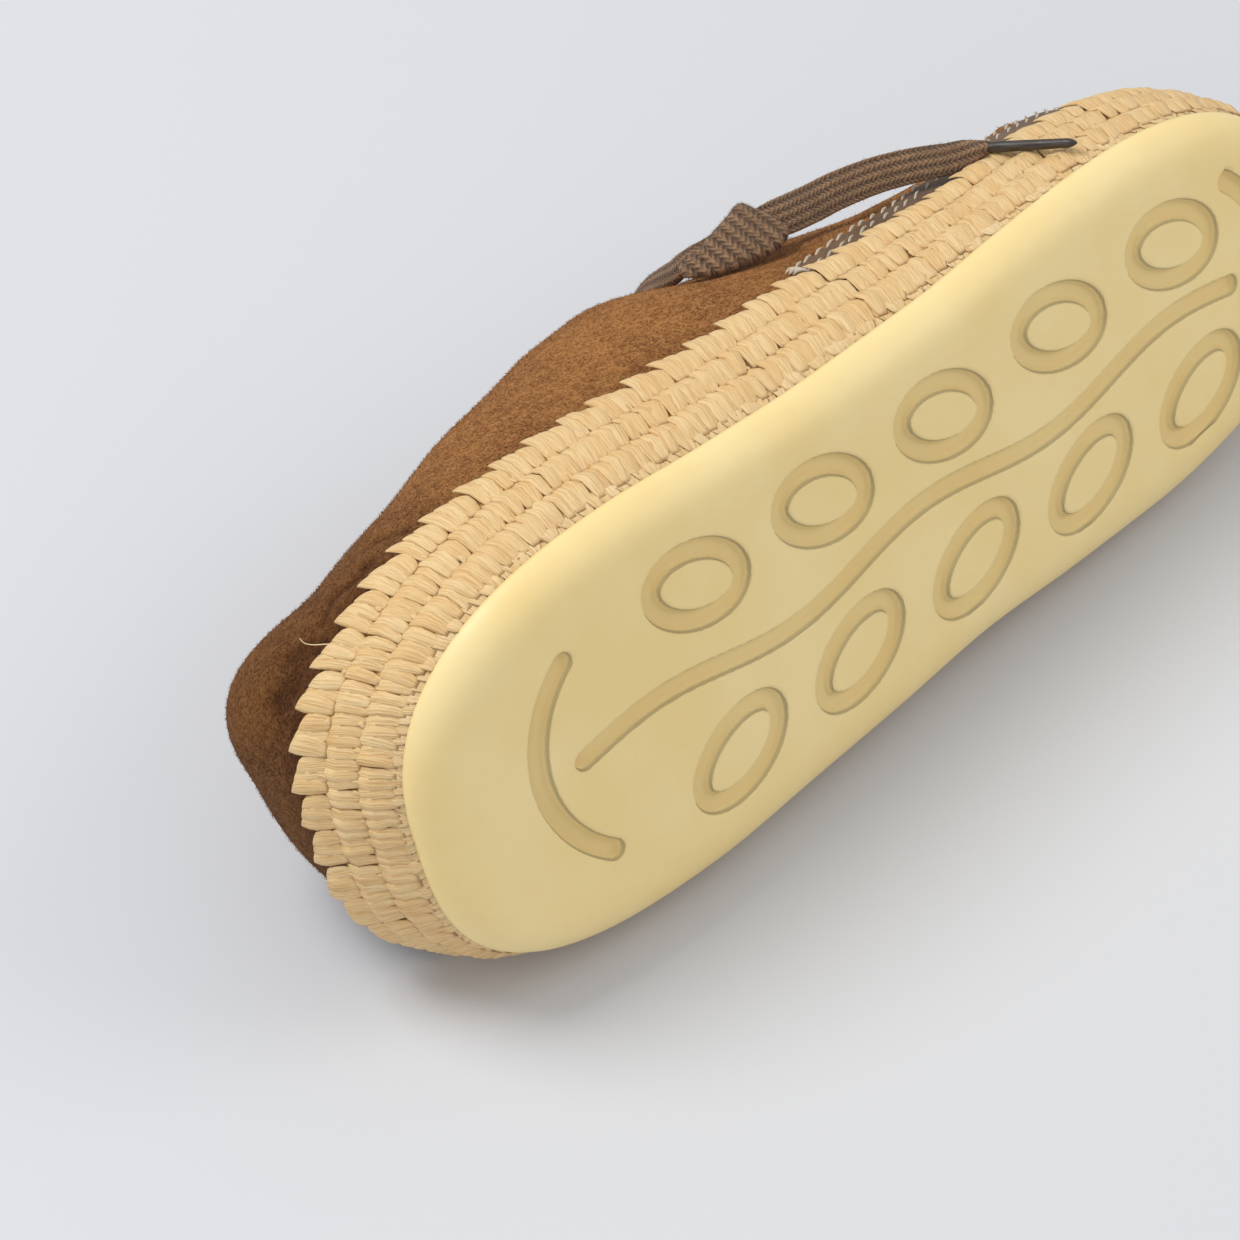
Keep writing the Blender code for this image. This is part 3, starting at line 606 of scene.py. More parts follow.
def run_noise(start, along, across, detail=3.0):
    """Noise on the piece's own run, stretched: lump sizes in millimetres along and across it."""
    run = start.node("ShaderNodeUVMap", {"uv_map": "run"})
    inputs = {"Vector": run, "Scale": (1.0 / along, 1.0 / across, 1.0)}
    turned = start.node("ShaderNodeMapping", {}, inputs)
    inputs = {"Vector": turned, "Scale": 1.0, "Detail": detail, "Roughness": 0.55}
    return start.node("ShaderNodeTexNoise", {}, inputs)


def mark(start, name):
    """Named value stored on the piece's points."""
    return start.node("ShaderNodeAttribute", {"attribute_name": name}, {}, "Fac")


def suede_material():
    """Napped suede: brushed patches, fine fibre, and painted shade that darkens it beside the band, at the
    toe and in its creases.
    """
    material, start, shader = new_material("brown_suede")
    fibre = object_noise(start, 0.7, 3.0, 0.7)
    tuft = object_noise(start, 2.2, 3.0, 0.65)
    patch = object_noise(start, 12.0, 3.0, 0.6, (1.0, 0.6, 1.0), 0.5)
    shade = mark(start, "shade")
    colour = patch.between(0.32, 0.7).blend(rgb(126, 78, 38), rgb(156, 103, 54))
    grain = (fibre * 0.6 + tuft * 0.4).between(0.4, 0.64)
    colour = (grain * 0.75).blend(colour, rgb(186, 132, 77))
    pits = (1 - fibre.between(0.34, 0.52)) * 0.5
    colour = pits.blend(colour, rgb(76, 44, 22))
    # painted shade: the shade mark multiplies the colour darker
    colour = (shade * 0.95).blend(colour, rgb(132, 119, 106), "MULTIPLY")
    height = fibre * 0.55 + tuft * 0.45
    plug_in(start, shader, colour, 0.95, height, 0.9, sheen_weight=0.02, specular_ior_level=0.15)
    return material


def fibre_material(name, low, high):
    """Loose fibre: each spike has its own tone between two colours."""
    material, start, shader = new_material(name)
    tone = mark(start, "tone")
    shade = mark(start, "shade")
    stain = object_noise(start, 9.0)
    colour = (tone * 0.8 + stain * 0.2).between(0.0, 1.0).blend(low, high)
    # painted shade carried over from the suede under each fibre
    colour = (shade * 0.75).blend(colour, rgb(136, 122, 108), "MULTIPLY")
    plug_in(start, shader, colour, 0.95, specular_ior_level=0.15)
    return material


def leather_material(name, grain_size, patch, colours, pits, roughest, depth, **constants):
    """Leather: patches between two tones, dark pits in a fine grain, and the grain's bump."""
    material, start, shader = new_material(name)
    low, high, dark = (rgb(*colour) for colour in colours)
    grain = object_noise(start, grain_size, 4.0, 0.6)
    size, detail, most = patch
    colour = object_noise(start, size, detail).between(0.3, most).blend(low, high)
    colour = ((1 - grain.between(0.3, 0.5)) * pits).blend(colour, dark)
    plug_in(start, shader, colour, grain.between(0.2, 0.8, 0.5, roughest), grain, depth, **constants)
    return material


def rubber_material():
    """Matt moulded rubber: a faint mottle, painted shade in the grooves and a fine moulded grain."""
    material, start, shader = new_material("cream_rubber")
    mottle = object_noise(start, 26.0, 3.0)
    grain = object_noise(start, 0.55, 2.0)
    scuff = object_noise(start, 5.0, 5.0, 0.7, (1.0, 1.0, 0.35))
    groove = mark(start, "groove")
    sunk = groove.between(GROOVE_BED + 0.4, GROOVE_EDGE - 0.05, 1.0, 0.0)
    colour = mottle.between(0.3, 0.7).blend(rgb(240, 212, 146), rgb(243, 219, 158))
    colour = (scuff.between(0.6, 0.78) * 0.22).blend(colour, rgb(230, 201, 134))
    # painted shade darkening the groove beds
    colour = (sunk * 0.4).blend(colour, rgb(222, 189, 118))
    roughness = scuff.between(0.3, 0.75, 0.44, 0.6)
    relief = grain * 0.03 - sunk
    plug_in(start, shader, colour, roughness, relief, 1.3, specular_ior_level=0.42)
    return material


STRAW_TONES = (          # place on the ramp and colour
    (0.0, (215, 168, 106)), (0.35, (226, 189, 131)), (0.65, (232, 201, 147)), (1.0, (238, 218, 174)),
)
YARN_PITCH = 1.2         # of the lace's yarns along it
RIB_WIDE = 2.12          # of the lace's ribs across it


def raffia_material(name, pale):
    """Raffia straw: long fibres, strips of their own tones, and painted shade in the creases where strips
    tuck under.
    """
    material, start, shader = new_material(name)
    tone = mark(start, "tone")
    lift = mark(start, "lift")
    fibre = run_noise(start, 9.0, 0.34, 4.0)
    streak = run_noise(start, 16.0, 0.9, 2.0)
    stops = [(place, rgb(*colour)) for place, colour in STRAW_TONES]
    place = tone * 0.72 + streak * 0.4 - 0.06 + pale
    colour = start.node("ShaderNodeValToRGB", {"stops": stops}, {"Fac": place})
    lines = (1 - fibre.between(0.36, 0.54)) * 0.62
    colour = lines.blend(colour, rgb(200, 148, 84))
    # painted shade where the lift is low: the strips' tucked ends, hidden backs and the backing wall
    crease = (1 - lift.between(0.1, 0.62)) * 0.85
    colour = crease.blend(colour, rgb(150, 100, 49))
    height = fibre * 0.65 + streak * 0.35
    roughness = fibre.between(0.25, 0.75, 0.62, 0.46)
    plug_in(start, shader, colour, roughness, height, 0.5, specular_ior_level=0.5)
    return material


def lace_material():
    """Flat woven lace: chevron yarns across its width, with loose fibre and lighter rib crests."""
    material, start, shader = new_material("taupe_lace")
    run = start.node("ShaderNodeUVMap", {"uv_map": "run"})
    parts = start.node("ShaderNodeSeparateXYZ", {}, {0: run}, 0)
    across = Wire(start.tree, parts.socket.node.outputs[1])
    zigzag = start.math("PINGPONG", across, RIB_WIDE / 2)
    fibre = run_noise(start, 0.9, 0.28, 3.0)
    stray = run_noise(start, 2.6, 1.6, 2.0)
    wave = start.math("SINE", (parts + zigzag * 1.1 + stray * 1.3) * (2 * math.pi / YARN_PITCH))
    rib = start.math("COSINE", across * (2 * math.pi / RIB_WIDE))
    yarn = (wave * 0.5 + 0.5) * 0.26 + (rib * 0.5 + 0.5) * 0.3 + fibre * 0.62
    colour = yarn.between(0.3, 0.92).blend(rgb(76, 54, 38), rgb(164, 128, 94))
    tint = object_noise(start, 6.0)
    colour = (tint.between(0.4, 0.75) * 0.35).blend(colour, rgb(92, 70, 51))
    plug_in(start, shader, colour, 0.92, yarn, 0.75, sheen_weight=0.12, sheen_roughness=0.5)
    return material


def thread_material():
    """Waxed off-white thread with its twist."""
    material, start, shader = new_material("stitch_thread")
    twist = run_noise(start, 0.5, 0.25, 2.0)
    colour = twist.between(0.3, 0.7).blend(rgb(172, 155, 130), rgb(226, 212, 190))
    plug_in(start, shader, colour, 0.6, twist, 0.08)
    return material


def tip_material():
    """Dull dark plastic tip with fine scratches."""
    material, start, shader = new_material("dark_tip")
    scratch = run_noise(start, 5.0, 0.3, 3.0)
    colour = scratch.between(0.35, 0.7).blend(rgb(44, 36, 31), rgb(72, 61, 53))
    plug_in(start, shader, colour, scratch.between(0.3, 0.7, 0.32, 0.5), scratch, 0.04)
    return material


SUEDE = suede_material()
NAP = fibre_material("suede_fibre", rgb(96, 58, 29), rgb(194, 140, 84))
FUZZ = fibre_material("lace_fibre", rgb(84, 64, 48), rgb(168, 138, 108))
LINING = leather_material(
    "lining_leather", 0.9, (16.0, 2.0, 0.7), ((170, 132, 88), (192, 156, 110), (130, 96, 60)), 0.35, 0.7, 0.12
)
RUBBER = rubber_material()
RAFFIA = raffia_material("raffia", 0.0)
PALE_RAFFIA = raffia_material("pale_raffia", 0.1)
LACE = lace_material()
COUNTER = leather_material(
    "dark_leather", 0.8, (9.0, 3.0, 0.75), ((102, 78, 58), (120, 94, 71), (44, 32, 24)), 0.4, 0.72, 0.1,
    specular_ior_level=0.25,
)
THREAD = thread_material()
TIP = tip_material()


# Loose fibre

def outward_of(grid):
    """Unit normals of a grid that closes on itself across: its rise crossed with its run."""
    ahead = (np.roll(grid, -1, axis=1) - np.roll(grid, 1, axis=1)) / 2
    return unit(np.cross(np.gradient(grid, axis=0), ahead))


def scatter(grid, count, draw):
    """Cells of a grid that closes on itself across, drawn by area, with a point in each of them."""
    beside = np.roll(grid, -1, axis=1)
    area = np.linalg.norm(np.cross(grid[1:] - grid[:-1], (beside - grid)[:-1]), axis=2).ravel()
    row, column = np.divmod(draw.choice(area.size, count, p=area / area.sum()), grid.shape[1])
    u, v = draw.uniform(0, 1, (2, count, 1))
    near = grid[row, column] * (1 - u) + grid[row + 1, column] * u
    point = near * (1 - v) + (beside[row, column] * (1 - u) + beside[row + 1, column] * u) * v
    return row, column, point


SPIKE_RISE = 0.45        # how far a loose fibre stands out, as a share of its length
SPIKE_LEAN = 0.8         # and how far it leans to a side
SPIKE_ROOT = 0.1         # how deep its foot sits


def put_spikes(name, foot, out, draw, longest, radius, material, shade):
    """Loose fibres: thin closed spikes from their feet, leaning every way off the outward direction."""
    count = len(foot)
    way = draw.normal(size=(count, 3))
    way = unit(way - out * (way * out).sum(axis=1, keepdims=True))
    tip = foot + (out * SPIKE_RISE + way * SPIKE_LEAN) * draw.uniform(0.4, 1.0, (count, 1)) * longest
    cross = np.cross(out, way)
    base = foot - out * SPIKE_ROOT
    thirds = np.radians((0, 120, 240))
    corners = [base + (way * math.cos(turn) + cross * math.sin(turn)) * radius for turn in thirds]
    points = np.stack(corners + [tip], axis=1)
    faces = np.array(((0, 1, 3), (1, 2, 3), (2, 0, 3), (2, 1, 0)))
    all_faces = (faces[None] + 4 * np.arange(count)[:, None, None]).reshape(-1, 3)
    marks = {"tone": np.repeat(draw.uniform(0, 1, count), 4), "shade": np.repeat(shade, 4)}
    return put_mesh(name, points, all_faces, [material], None, marks)


# Camera and lace

def set_place(item, right, up, back, place):
    """Turn and place of a camera or a lamp, from its three axes."""
    matrix = np.eye(4)
    matrix[:3] = np.array((right, up, back, place)).T
    item.matrix_world = Matrix(matrix.tolist())


def make_camera():
    """Camera at the photograph's viewing angle."""
    data = bpy.data.cameras.new("camera")
    data.lens = CAMERA_LENS
    data.sensor_width = CAMERA_SENSOR
    data.sensor_fit = "HORIZONTAL"
    data.clip_start = CAMERA_NEAR
    data.clip_end = CAMERA_FAR
    camera = add_item("camera", data)
    set_place(camera, CAMERA_RIGHT, -np.array(CAMERA_DOWN), -np.array(CAMERA_FORWARD), CAMERA_PLACE)
    bpy.context.scene.camera = camera


LACE_RIBS = 4
LACE_RIB_DEEP = 0.16     # depth of the shallow ribs, as a share of the thickness
LACE_AROUND = 20
LACE_POWERS = (0.7, 0.6)                    # of its section, across and up
LACE_STEP = 1.1          # between the rings of its free end


def put_ribbon(name, path, normals, half_wide, half_thick):
    """Flat lace: a rounded bar with shallow ribs, carried along a path that has a face direction everywhere.

    Its run along and across is kept in millimetres. Returns the piece and its rings of points.
    """
    run = unit(np.gradient(path, axis=0))
    face = unit(normals - (normals * run).sum(axis=1, keepdims=True) * run)
    across, up = bar_section(LACE_AROUND, *LACE_POWERS)
    up = up * (1 + LACE_RIB_DEEP * np.cos(across * LACE_RIBS * math.pi))
    half_wide, half_thick = (np.broadcast_to(half, len(path))[:, None] for half in (half_wide, half_thick))
    points = path[:, None] + np.cross(run, face)[:, None] * (across * half_wide)[..., None]
    points = points + face[:, None] * (up * half_thick)[..., None]
    uv = np.stack(np.broadcast_arrays(run_of(path)[:, None], across * half_wide), axis=-1)
    return put_tubes(name, points[None], LACE, uv), points


TAIL_FACES = {           # direction that the lace's flat face looks in along the free end
    "share": (0.0, 0.1, 0.25, 0.4, 0.55, 0.75, 0.9, 1.0),
    "x": (0.25, 0.35, 0.42, 0.44, 0.46, 0.46, 0.44, 0.42),
    "y": (0.55, 0.75, 0.7, 0.66, 0.62, 0.62, 0.66, 0.7),
    "z": (0.8, 0.15, -0.35, -0.5, -0.62, -0.62, -0.6, -0.55),
}
TAIL_SHAPE = {           # width and thickness along the free end, as shares of the flat lace's own
    "share": (0.0, 0.12, 0.25, 0.36, 0.44, 0.55, 0.8, 0.93, 1.0),
    "wide": (0.5, 0.72, 0.68, 0.44, 0.7, 1.06, 0.98, 0.84, 0.3),
    "thick": (1.6, 1.8, 2.0, 1.7, 1.45, 1.25, 1.25, 1.4, 1.9),
}
TAIL_SAG = 1.5           # how far the middle of the free end hangs below a straight run
TAIL_SAG_WAY = np.array((0.519, -0.811, -0.271))
TAIL_SAG_SPAN = (0.5, 0.72, 0.9, 1.0)       # where it hangs, as shares of its length
TAIL_HUMP = -0.5         # how far it stands off its route before the fold; it lies lower below 0
TAIL_HUMP_SPAN = (0.04, 0.16, 0.22, 0.38)
TAIL_DIVE = np.array((0.0, -1.7, -3.6))     # how far its hidden start goes in through the eyelet
TAIL_DIVE_END = 0.06


def make_tail():
    """Free lace end: a flat ribbon from the last outer eyelet through the fold to the tip."""
    route = LEAD_ROUTE + (KNOT_CENTRE,) + END_ROUTE
    path, length = smooth_route(route, LACE_STEP)
    share = np.linspace(0, 1, len(path))
    sag = rise_and_fall(TAIL_SAG_SPAN, share)
    hump = rise_and_fall(TAIL_HUMP_SPAN, share)
    path = path + TAIL_SAG_WAY * (TAIL_SAG * sag - TAIL_HUMP * hump)[:, None]
    path = path + TAIL_DIVE * (1 - smooth_step(0.0, TAIL_DIVE_END, share))[:, None]
    normals = np.stack([between_rows(TAIL_FACES, axis, share, "share") for axis in "xyz"], axis=1)
    half_wide = LACE_WIDE / 2 * between_rows(TAIL_SHAPE, "wide", share, "share")
    half_thick = LACE_THICK / 2 * between_rows(TAIL_SHAPE, "thick", share, "share")
    tail, grid = put_ribbon("lace_tail", path, normals, half_wide, half_thick)
    finish_piece(tail, "taupe_lace", "lace_lead", "lace_end")
    return tail, grid, path, length


FOLD_START = (2.0, 0.0, 0.8)                # start of its run, past the lead's end
FOLD_OUT = np.array((0.45, 0.85, -0.25))    # direction that its face looks in
FOLD_FRONT = 2.4         # how far the folded part lies outside the free end
FOLD_CREST = 0.5         # height of the ridge below its upper edge
FOLD_CREST_PLACE = 2.0   # how far below that edge the ridge runs
FOLD_CREST_WIDE = 1.6
FOLD_WEAVE = (0.3, 0.7)                     # turn of its weave: parts along and across its run
FOLD_RINGS = 40
FOLD_AROUND = 28
FOLD_POWERS = (0.8, 0.75)                   # of its section, across and up
FOLD = {                 # folded part of the lace, along its run: its two edges and its half depth
    "along": (-4.5, 0.9, 4.0, 7.6, 11.0, 13.6, 14.8, 16.4, 18.0, 20.1, 21.6),
    "top": (3.4, 1.6, -0.2, -2.1, -4.0, -5.6, -5.4, -3.2, -1.3, 2.2, 5.0),
    "foot": (6.8, 8.8, 9.4, 9.8, 9.9, 9.8, 9.7, 9.4, 8.9, 7.8, 6.2),
    "depth": (0.7, 1.5, 1.9, 2.2, 2.3, 2.3, 2.2, 2.1, 1.9, 1.4, 0.6),
}


def make_fold():
    """Fold in the free end: a flat wedge whose upper edge rises to a corner and falls steeply again."""
    start = np.array(LEAD_ROUTE[-1]) + FOLD_START
    run = unit(np.array(END_ROUTE[0]) - start)
    out = unit(FOLD_OUT - run * (FOLD_OUT @ run))
    along = np.linspace(FOLD["along"][0], FOLD["along"][-1], FOLD_RINGS)
    top, foot, depth = (between_rows(FOLD, column, along)[:, None] for column in ("top", "foot", "depth"))
    across, up = bar_section(FOLD_AROUND, *FOLD_POWERS)
    reach = (top + foot) / 2 + (foot - top) / 2 * across
    crest = FOLD_CREST * np.exp(-((reach - top - FOLD_CREST_PLACE) / FOLD_CREST_WIDE) ** 2)
    line = start + run * along[:, None] + out * FOLD_FRONT
    points = line[:, None] + np.cross(run, out) * reach[..., None] + out * (up * depth + crest)[..., None]
    ahead, aside = FOLD_WEAVE
    uv = np.stack([ahead * along[:, None] + aside * reach, aside * along[:, None] - ahead * reach], axis=-1)
    fold = put_tubes("lace_fold", points[None], LACE, uv)
    return finish_piece(fold, "taupe_lace", "lace_knot"), points


TIP_RINGS = 24
TIP_AROUND = 14
TIP_OVERLAP = 0.08       # how far it reaches back over the lace, as a share of its length
TIP_START = 1.12         # its radius at the start, as a share
TIP_TAPER = 0.22         # and how much of it is lost on the way to the end
TIP_CLOSE = 0.9          # how far the end closes, and where that begins
TIP_CLOSE_FROM = 0.92
TIP_CRIMP = 0.1          # depth of the crimp as a share, its place and its half width
TIP_CRIMP_PLACE = 0.1
TIP_CRIMP_WIDE = 0.03


def make_tip():
    """Tip of the lace: a thin tube with a crimped start and a rounded end."""
    start = np.array(END_ROUTE[-1])
    way = np.array(TIP_END) - start
    path = start + way * np.linspace(-TIP_OVERLAP, 1.0, TIP_RINGS)[:, None]
    share = np.linspace(0, 1, TIP_RINGS)
    ending = np.sqrt(1 - TIP_CLOSE * smooth_step(TIP_CLOSE_FROM, 1.0, share))
    radius = TIP_RADIUS * (TIP_START - TIP_TAPER * share) * ending
    radius = radius * (1 - TIP_CRIMP * np.exp(-((share - TIP_CRIMP_PLACE) / TIP_CRIMP_WIDE) ** 2))
    face = unit(np.cross(unit(way), (0.0, 0.0, 1.0)))
    turn = full_turn(TIP_AROUND)
    ring = face * np.cos(turn)[:, None] + np.cross(unit(way), face) * np.sin(turn)[:, None]
    points = path[:, None] + ring * radius[:, None, None]
    uv = np.stack(np.broadcast_arrays(share[:, None] * np.linalg.norm(way), turn * TIP_RADIUS), axis=-1)
    tip = put_tubes("lace_tip_cap", points[None], TIP, uv, None, True)
    return finish_piece(tip, "dark_tip", "lace_tip")


FUZZ_COUNT = 2600        # loose fibres on the free end, and as many on its fold
FUZZ_LONG = 1.3
FUZZ_FOOT = 0.06         # radius of a loose fibre's foot


def make_fuzz(grids):
    """Loose yarn fibres over the lace's free end and its fold."""
    draw = np.random.RandomState(72)
    feet, ways = [], []
    for grid in grids:
        out = outward_of(grid)
        out = out * np.sign((out * (grid - grid.mean(axis=1, keepdims=True))).sum())
        row, column, foot = scatter(grid, FUZZ_COUNT, draw)
        feet.append(foot)
        ways.append(out[row, column])
    foot, out = np.concatenate(feet), np.concatenate(ways)
    fuzz = put_spikes("lace_fuzz", foot, out, draw, FUZZ_LONG, FUZZ_FOOT, FUZZ, np.zeros(len(foot)))
    return finish_piece(fuzz, "taupe_lace")


make_camera()
TAIL, TAIL_GRID, TAIL_PATH, TAIL_LENGTH = make_tail()
FOLD_PIECE, FOLD_GRID = make_fold()
TAIL_LENGTH * MM
make_tip()
make_fuzz((TAIL_GRID, FOLD_GRID))


# Raffia band

RING_ALONG = np.concatenate([FINE_ALONG, FINE_ALONG[-2::-1]])
RING_SIDE = np.concatenate([np.ones(len(FINE_ALONG)), -np.ones(len(FINE_ALONG) - 1)])
RING_X, RING_Y, RING_OUT_X, RING_OUT_Y = edge(RING_ALONG, RING_SIDE)
RING_RUN = run_of(np.column_stack([RING_X, RING_Y]))
RING_LENGTH = RING_RUN[-1]
RING_LEAN = by_side(LEAN, RING_ALONG, RING_SIDE)

ROPE = {                 # how far the courses' own rounding stands out, by height on the band
    "height": (-1.0, 0.4, 1.2, 2.0, 5.8, 9.8, 13.8, 17.9, 21.4, 24.0, 27.0, 30.0),
    "out": (0.0, 0.1, 0.2, 0.0, 1.0, -0.1, 1.1, -0.1, 1.0, 0.8, 0.3, -0.3),
}
SLANT = {                # lean of the wraps in degrees, round the shoe
    "along": (8, 60, 150, 200, 235, 262, 284),
    "outer": (-4, -9, -9, -7, -2, 6, 9),
    "inner": (-4, 4, 8, 8, 8, 9, 9),
}


def band_point(run, height, out):
    """Point on the band: a run round the rubber edge, a height up the band, a distance out of its wall."""
    at = np.mod(run, RING_LENGTH)
    tables = (RING_X, RING_Y, RING_OUT_X, RING_OUT_Y, RING_ALONG, RING_LEAN)
    x, y, out_x, out_y, along, lean = (np.interp(at, RING_RUN, table) for table in tables)
    up = height / (BAND_TOP - BAND_FOOT)
    outward = lean * up + BAND_BULGE * 4 * up * (1 - up) + out
    z = BAND_FOOT + height + spring(along)
    return np.stack([x + out_x * outward, y + out_y * outward, z], axis=-1)


def slant_at(run):
    """Lean of the wraps at places round the shoe, in radians."""
    at = np.mod(run, RING_LENGTH)
    along = np.interp(at, RING_RUN, RING_ALONG)
    side = np.where(at < RING_RUN[len(FINE_ALONG) - 1], 1, -1)
    return np.radians(by_side(SLANT, along, side))


WRAP_TURN = np.radians((0, 40, 90, 140, 180, 225, 270, 315))
WRAP_RINGS = 7
WRAP_FOOT = 0.62         # width of a strip's pinched lower end, as a share
WRAP_CURL = 0.26         # how much a strip's lean grows from its foot to its top
WRAP_TILT = 0.13         # how much its leading edge stands over the next strip
WRAP_FOLD = 0.17         # height of its lengthwise folds
WRAP_BACK = 0.5          # depth of its hidden side
WRAP_PINCH = (-0.06, 0.4)                   # where its foot widens, as shares of its length
WRAP_TOP_NARROW = 0.22   # how much narrower its top gets, and where that begins
WRAP_TOP_FROM = 0.82
WRAP_TUCK_FROM = 0.68    # where its top begins to tuck under
WRAP_SINK = 0.22         # how deep its foot is sunk, and up to where
WRAP_SINK_TO = 0.2
WRAP_FOLDS = 2.6         # number of its folds, how they lean and where they start
WRAP_FOLD_LEAN = 1.4
WRAP_FOLD_START = 3.0
WRAP_DARK_FOOT = 0.25    # light left at its foot under painted shade, and up to where that painted shade reaches
WRAP_DARK_TO = 0.18
WRAP_DARK_TOP = 0.7      # most painted shade on its tucked top, and where it begins
WRAP_DARK_FROM = 0.74
WRAP_DARK_TILT = 0.25    # how much of its tilt shows as painted light on the raised leading edge and painted shade on the other
WRAP_TONES = (2.2, 2.0)                     # of the beta distribution of the strips' tones
WRAP_TONE_LOW = 0.25
WRAP_TONE_SPAN = 0.5
WRAP_JUMP = 900          # how far apart the strips' places on the straw's grain may be
WRAP_VARY = {            # how far single strips depart from their course
    "wide": 0.14, "slant": 0.1, "bend": 0.42, "tilt": 0.1, "raise": 0.1, "phase": 3.0,
}


def spread(places, height):
    """Runs round the shoe at shares of the band's length at a height, and the run of a whole share there."""
    run = np.linspace(0, RING_LENGTH, 3001)
    length = run_of(band_point(run, height, 0.0))
    at = np.mod(places, 1) * length[-1]
    rate = np.gradient(run, length)
    return np.interp(at, length, run), np.interp(at, length, rate) * length[-1]


def put_wraps(name, middle, low, high, slant, half_wide, seed, material, crown, tuck, raise_by=0.0, tip=0.0):
    """Raffia wraps of one course, each a flattened closed strip.

    A strip's axis runs up the band from its low to its high height, leaning by its slant and curling ahead.
    Its section is an ellipse with lengthwise folds, tilted so that the leading edge lies over the next strip,
    and it rides on the course's rounding. Its foot is pinched and its top tucks under the course above.
    A tip lifts the leading corner of the strip's top, which is otherwise square to the strip's run.
    """
    draw = np.random.RandomState(seed)
    count = len(middle)
    up = (0.5 - 0.5 * np.cos(np.linspace(0, math.pi, WRAP_RINGS)))[None, :, None]
    across = np.cos(WRAP_TURN)[None, None, :]
    thick = np.sin(WRAP_TURN)[None, None, :]
    sizes = (low, high, tip, half_wide)
    low, high, tip, half_wide = (np.broadcast_to(size, count)[:, None, None] for size in sizes)

    def vary(what):
        """Each strip's own departure."""
        return (WRAP_VARY[what] * draw.uniform(-1, 1, count))[:, None, None]

    wide = half_wide * (1 + vary("wide"))
    slant = slant[:, None, None] + vary("slant")
    bend = vary("bend")
    taper = WRAP_FOOT + (1 - WRAP_FOOT) * smooth_step(*WRAP_PINCH, up)
    taper = taper - WRAP_TOP_NARROW * smooth_step(WRAP_TOP_FROM, 1.0, up)
    axis_height = low + (high - low) * up
    axis_run = middle[:, None, None] + np.tan(slant) * (axis_height - 0.5 * (low + high))
    axis_run = axis_run + WRAP_CURL * (high - low) * ((up - 0.5) ** 2 - 1 / 12) + bend * np.sin(math.pi * up)
    run = axis_run + across * wide * taper * np.cos(slant)
    square = 1 - up ** 2 * (tip > 0)
    height = axis_height - across * wide * taper * np.sin(slant) * square + tip * across * up ** 2
    tilt = WRAP_TILT + vary("tilt")
    raised = raise_by + vary("raise")
    dive = tuck * smooth_step(WRAP_TUCK_FROM, 1.0, up) + WRAP_SINK * (1 - smooth_step(0.0, WRAP_SINK_TO, up))
    phase = WRAP_FOLDS * math.pi * across + WRAP_FOLD_LEAN * up + WRAP_FOLD_START + vary("phase")
    fold = WRAP_FOLD * np.cos(phase) * (thick > 0)
    out = between_rows(ROPE, "out", height, "height") + raised + tilt * across - dive
    out = out + np.where(thick > 0, crown, WRAP_BACK) * thick * taper + fold * taper
    # lift: painted shade at the strip's foot, tucked top and hidden back, and painted light on its raised
    # leading edge
    ends = WRAP_DARK_FOOT + (1 - WRAP_DARK_FOOT) * smooth_step(0.0, WRAP_DARK_TO, up)
    ends = ends * (1 - min(tuck, WRAP_DARK_TOP) * smooth_step(WRAP_DARK_FROM, 1.0, up))
    lift = np.clip((thick * 0.5 + 0.5) * ends + WRAP_DARK_TILT * tilt * across, 0, 1)
    tone = WRAP_TONE_LOW + WRAP_TONE_SPAN * draw.beta(*WRAP_TONES, count)[:, None, None]
    tone = np.broadcast_to(tone, out.shape)
    jump = draw.uniform(0, WRAP_JUMP, count)[:, None, None]
    length = (high - low) / np.cos(slant)
    uv = np.stack(np.broadcast_arrays(jump + up * length, jump + across * wide), axis=-1)
    piece = put_tubes(name, band_point(run, height, out), material, uv, {"lift": lift, "tone": tone}, True)
    finish_piece(piece, "raffia")


WRAPS = 224              # strips in one course
WRAP_JITTER = 0.12       # how far they stand off an even pitch
TOE_CLOSER = 0.2         # by how much closer they stand at the toe, and wider at the heel
BACKING = {              # closed section of the band's backing wall
    "height": (0.0, 1.0, 2.0, 5.8, 9.8, 13.8, 17.9, 20.5, 21.0, 19.5, 3.0, 0.0),
    "out": (-0.3, 0.0, -0.4, 0.5, -0.6, 0.6, -0.6, 0.2, -2.6, -3.0, -3.0, -3.0),
}
BACKING_PLACES = 360
BACKING_LIFT = 0.05      # painted shade: a low lift darkens its straw, as it shows only in the gaps between the strips
BACKING_TONE = 0.2
COURSES = (              # name, foot, top, seed, half width in pitches, straw, crown and tuck
    ("raffia_course_low", -0.5, 3.4, 11, 0.8, PALE_RAFFIA, 0.1, 0.1),
    ("raffia_course_third", 0.9, 10.9, 12, 0.7, RAFFIA, 0.6, 0.75),
    ("raffia_course_second", 8.9, 18.9, 13, 0.7, RAFFIA, 0.6, 0.75),
)


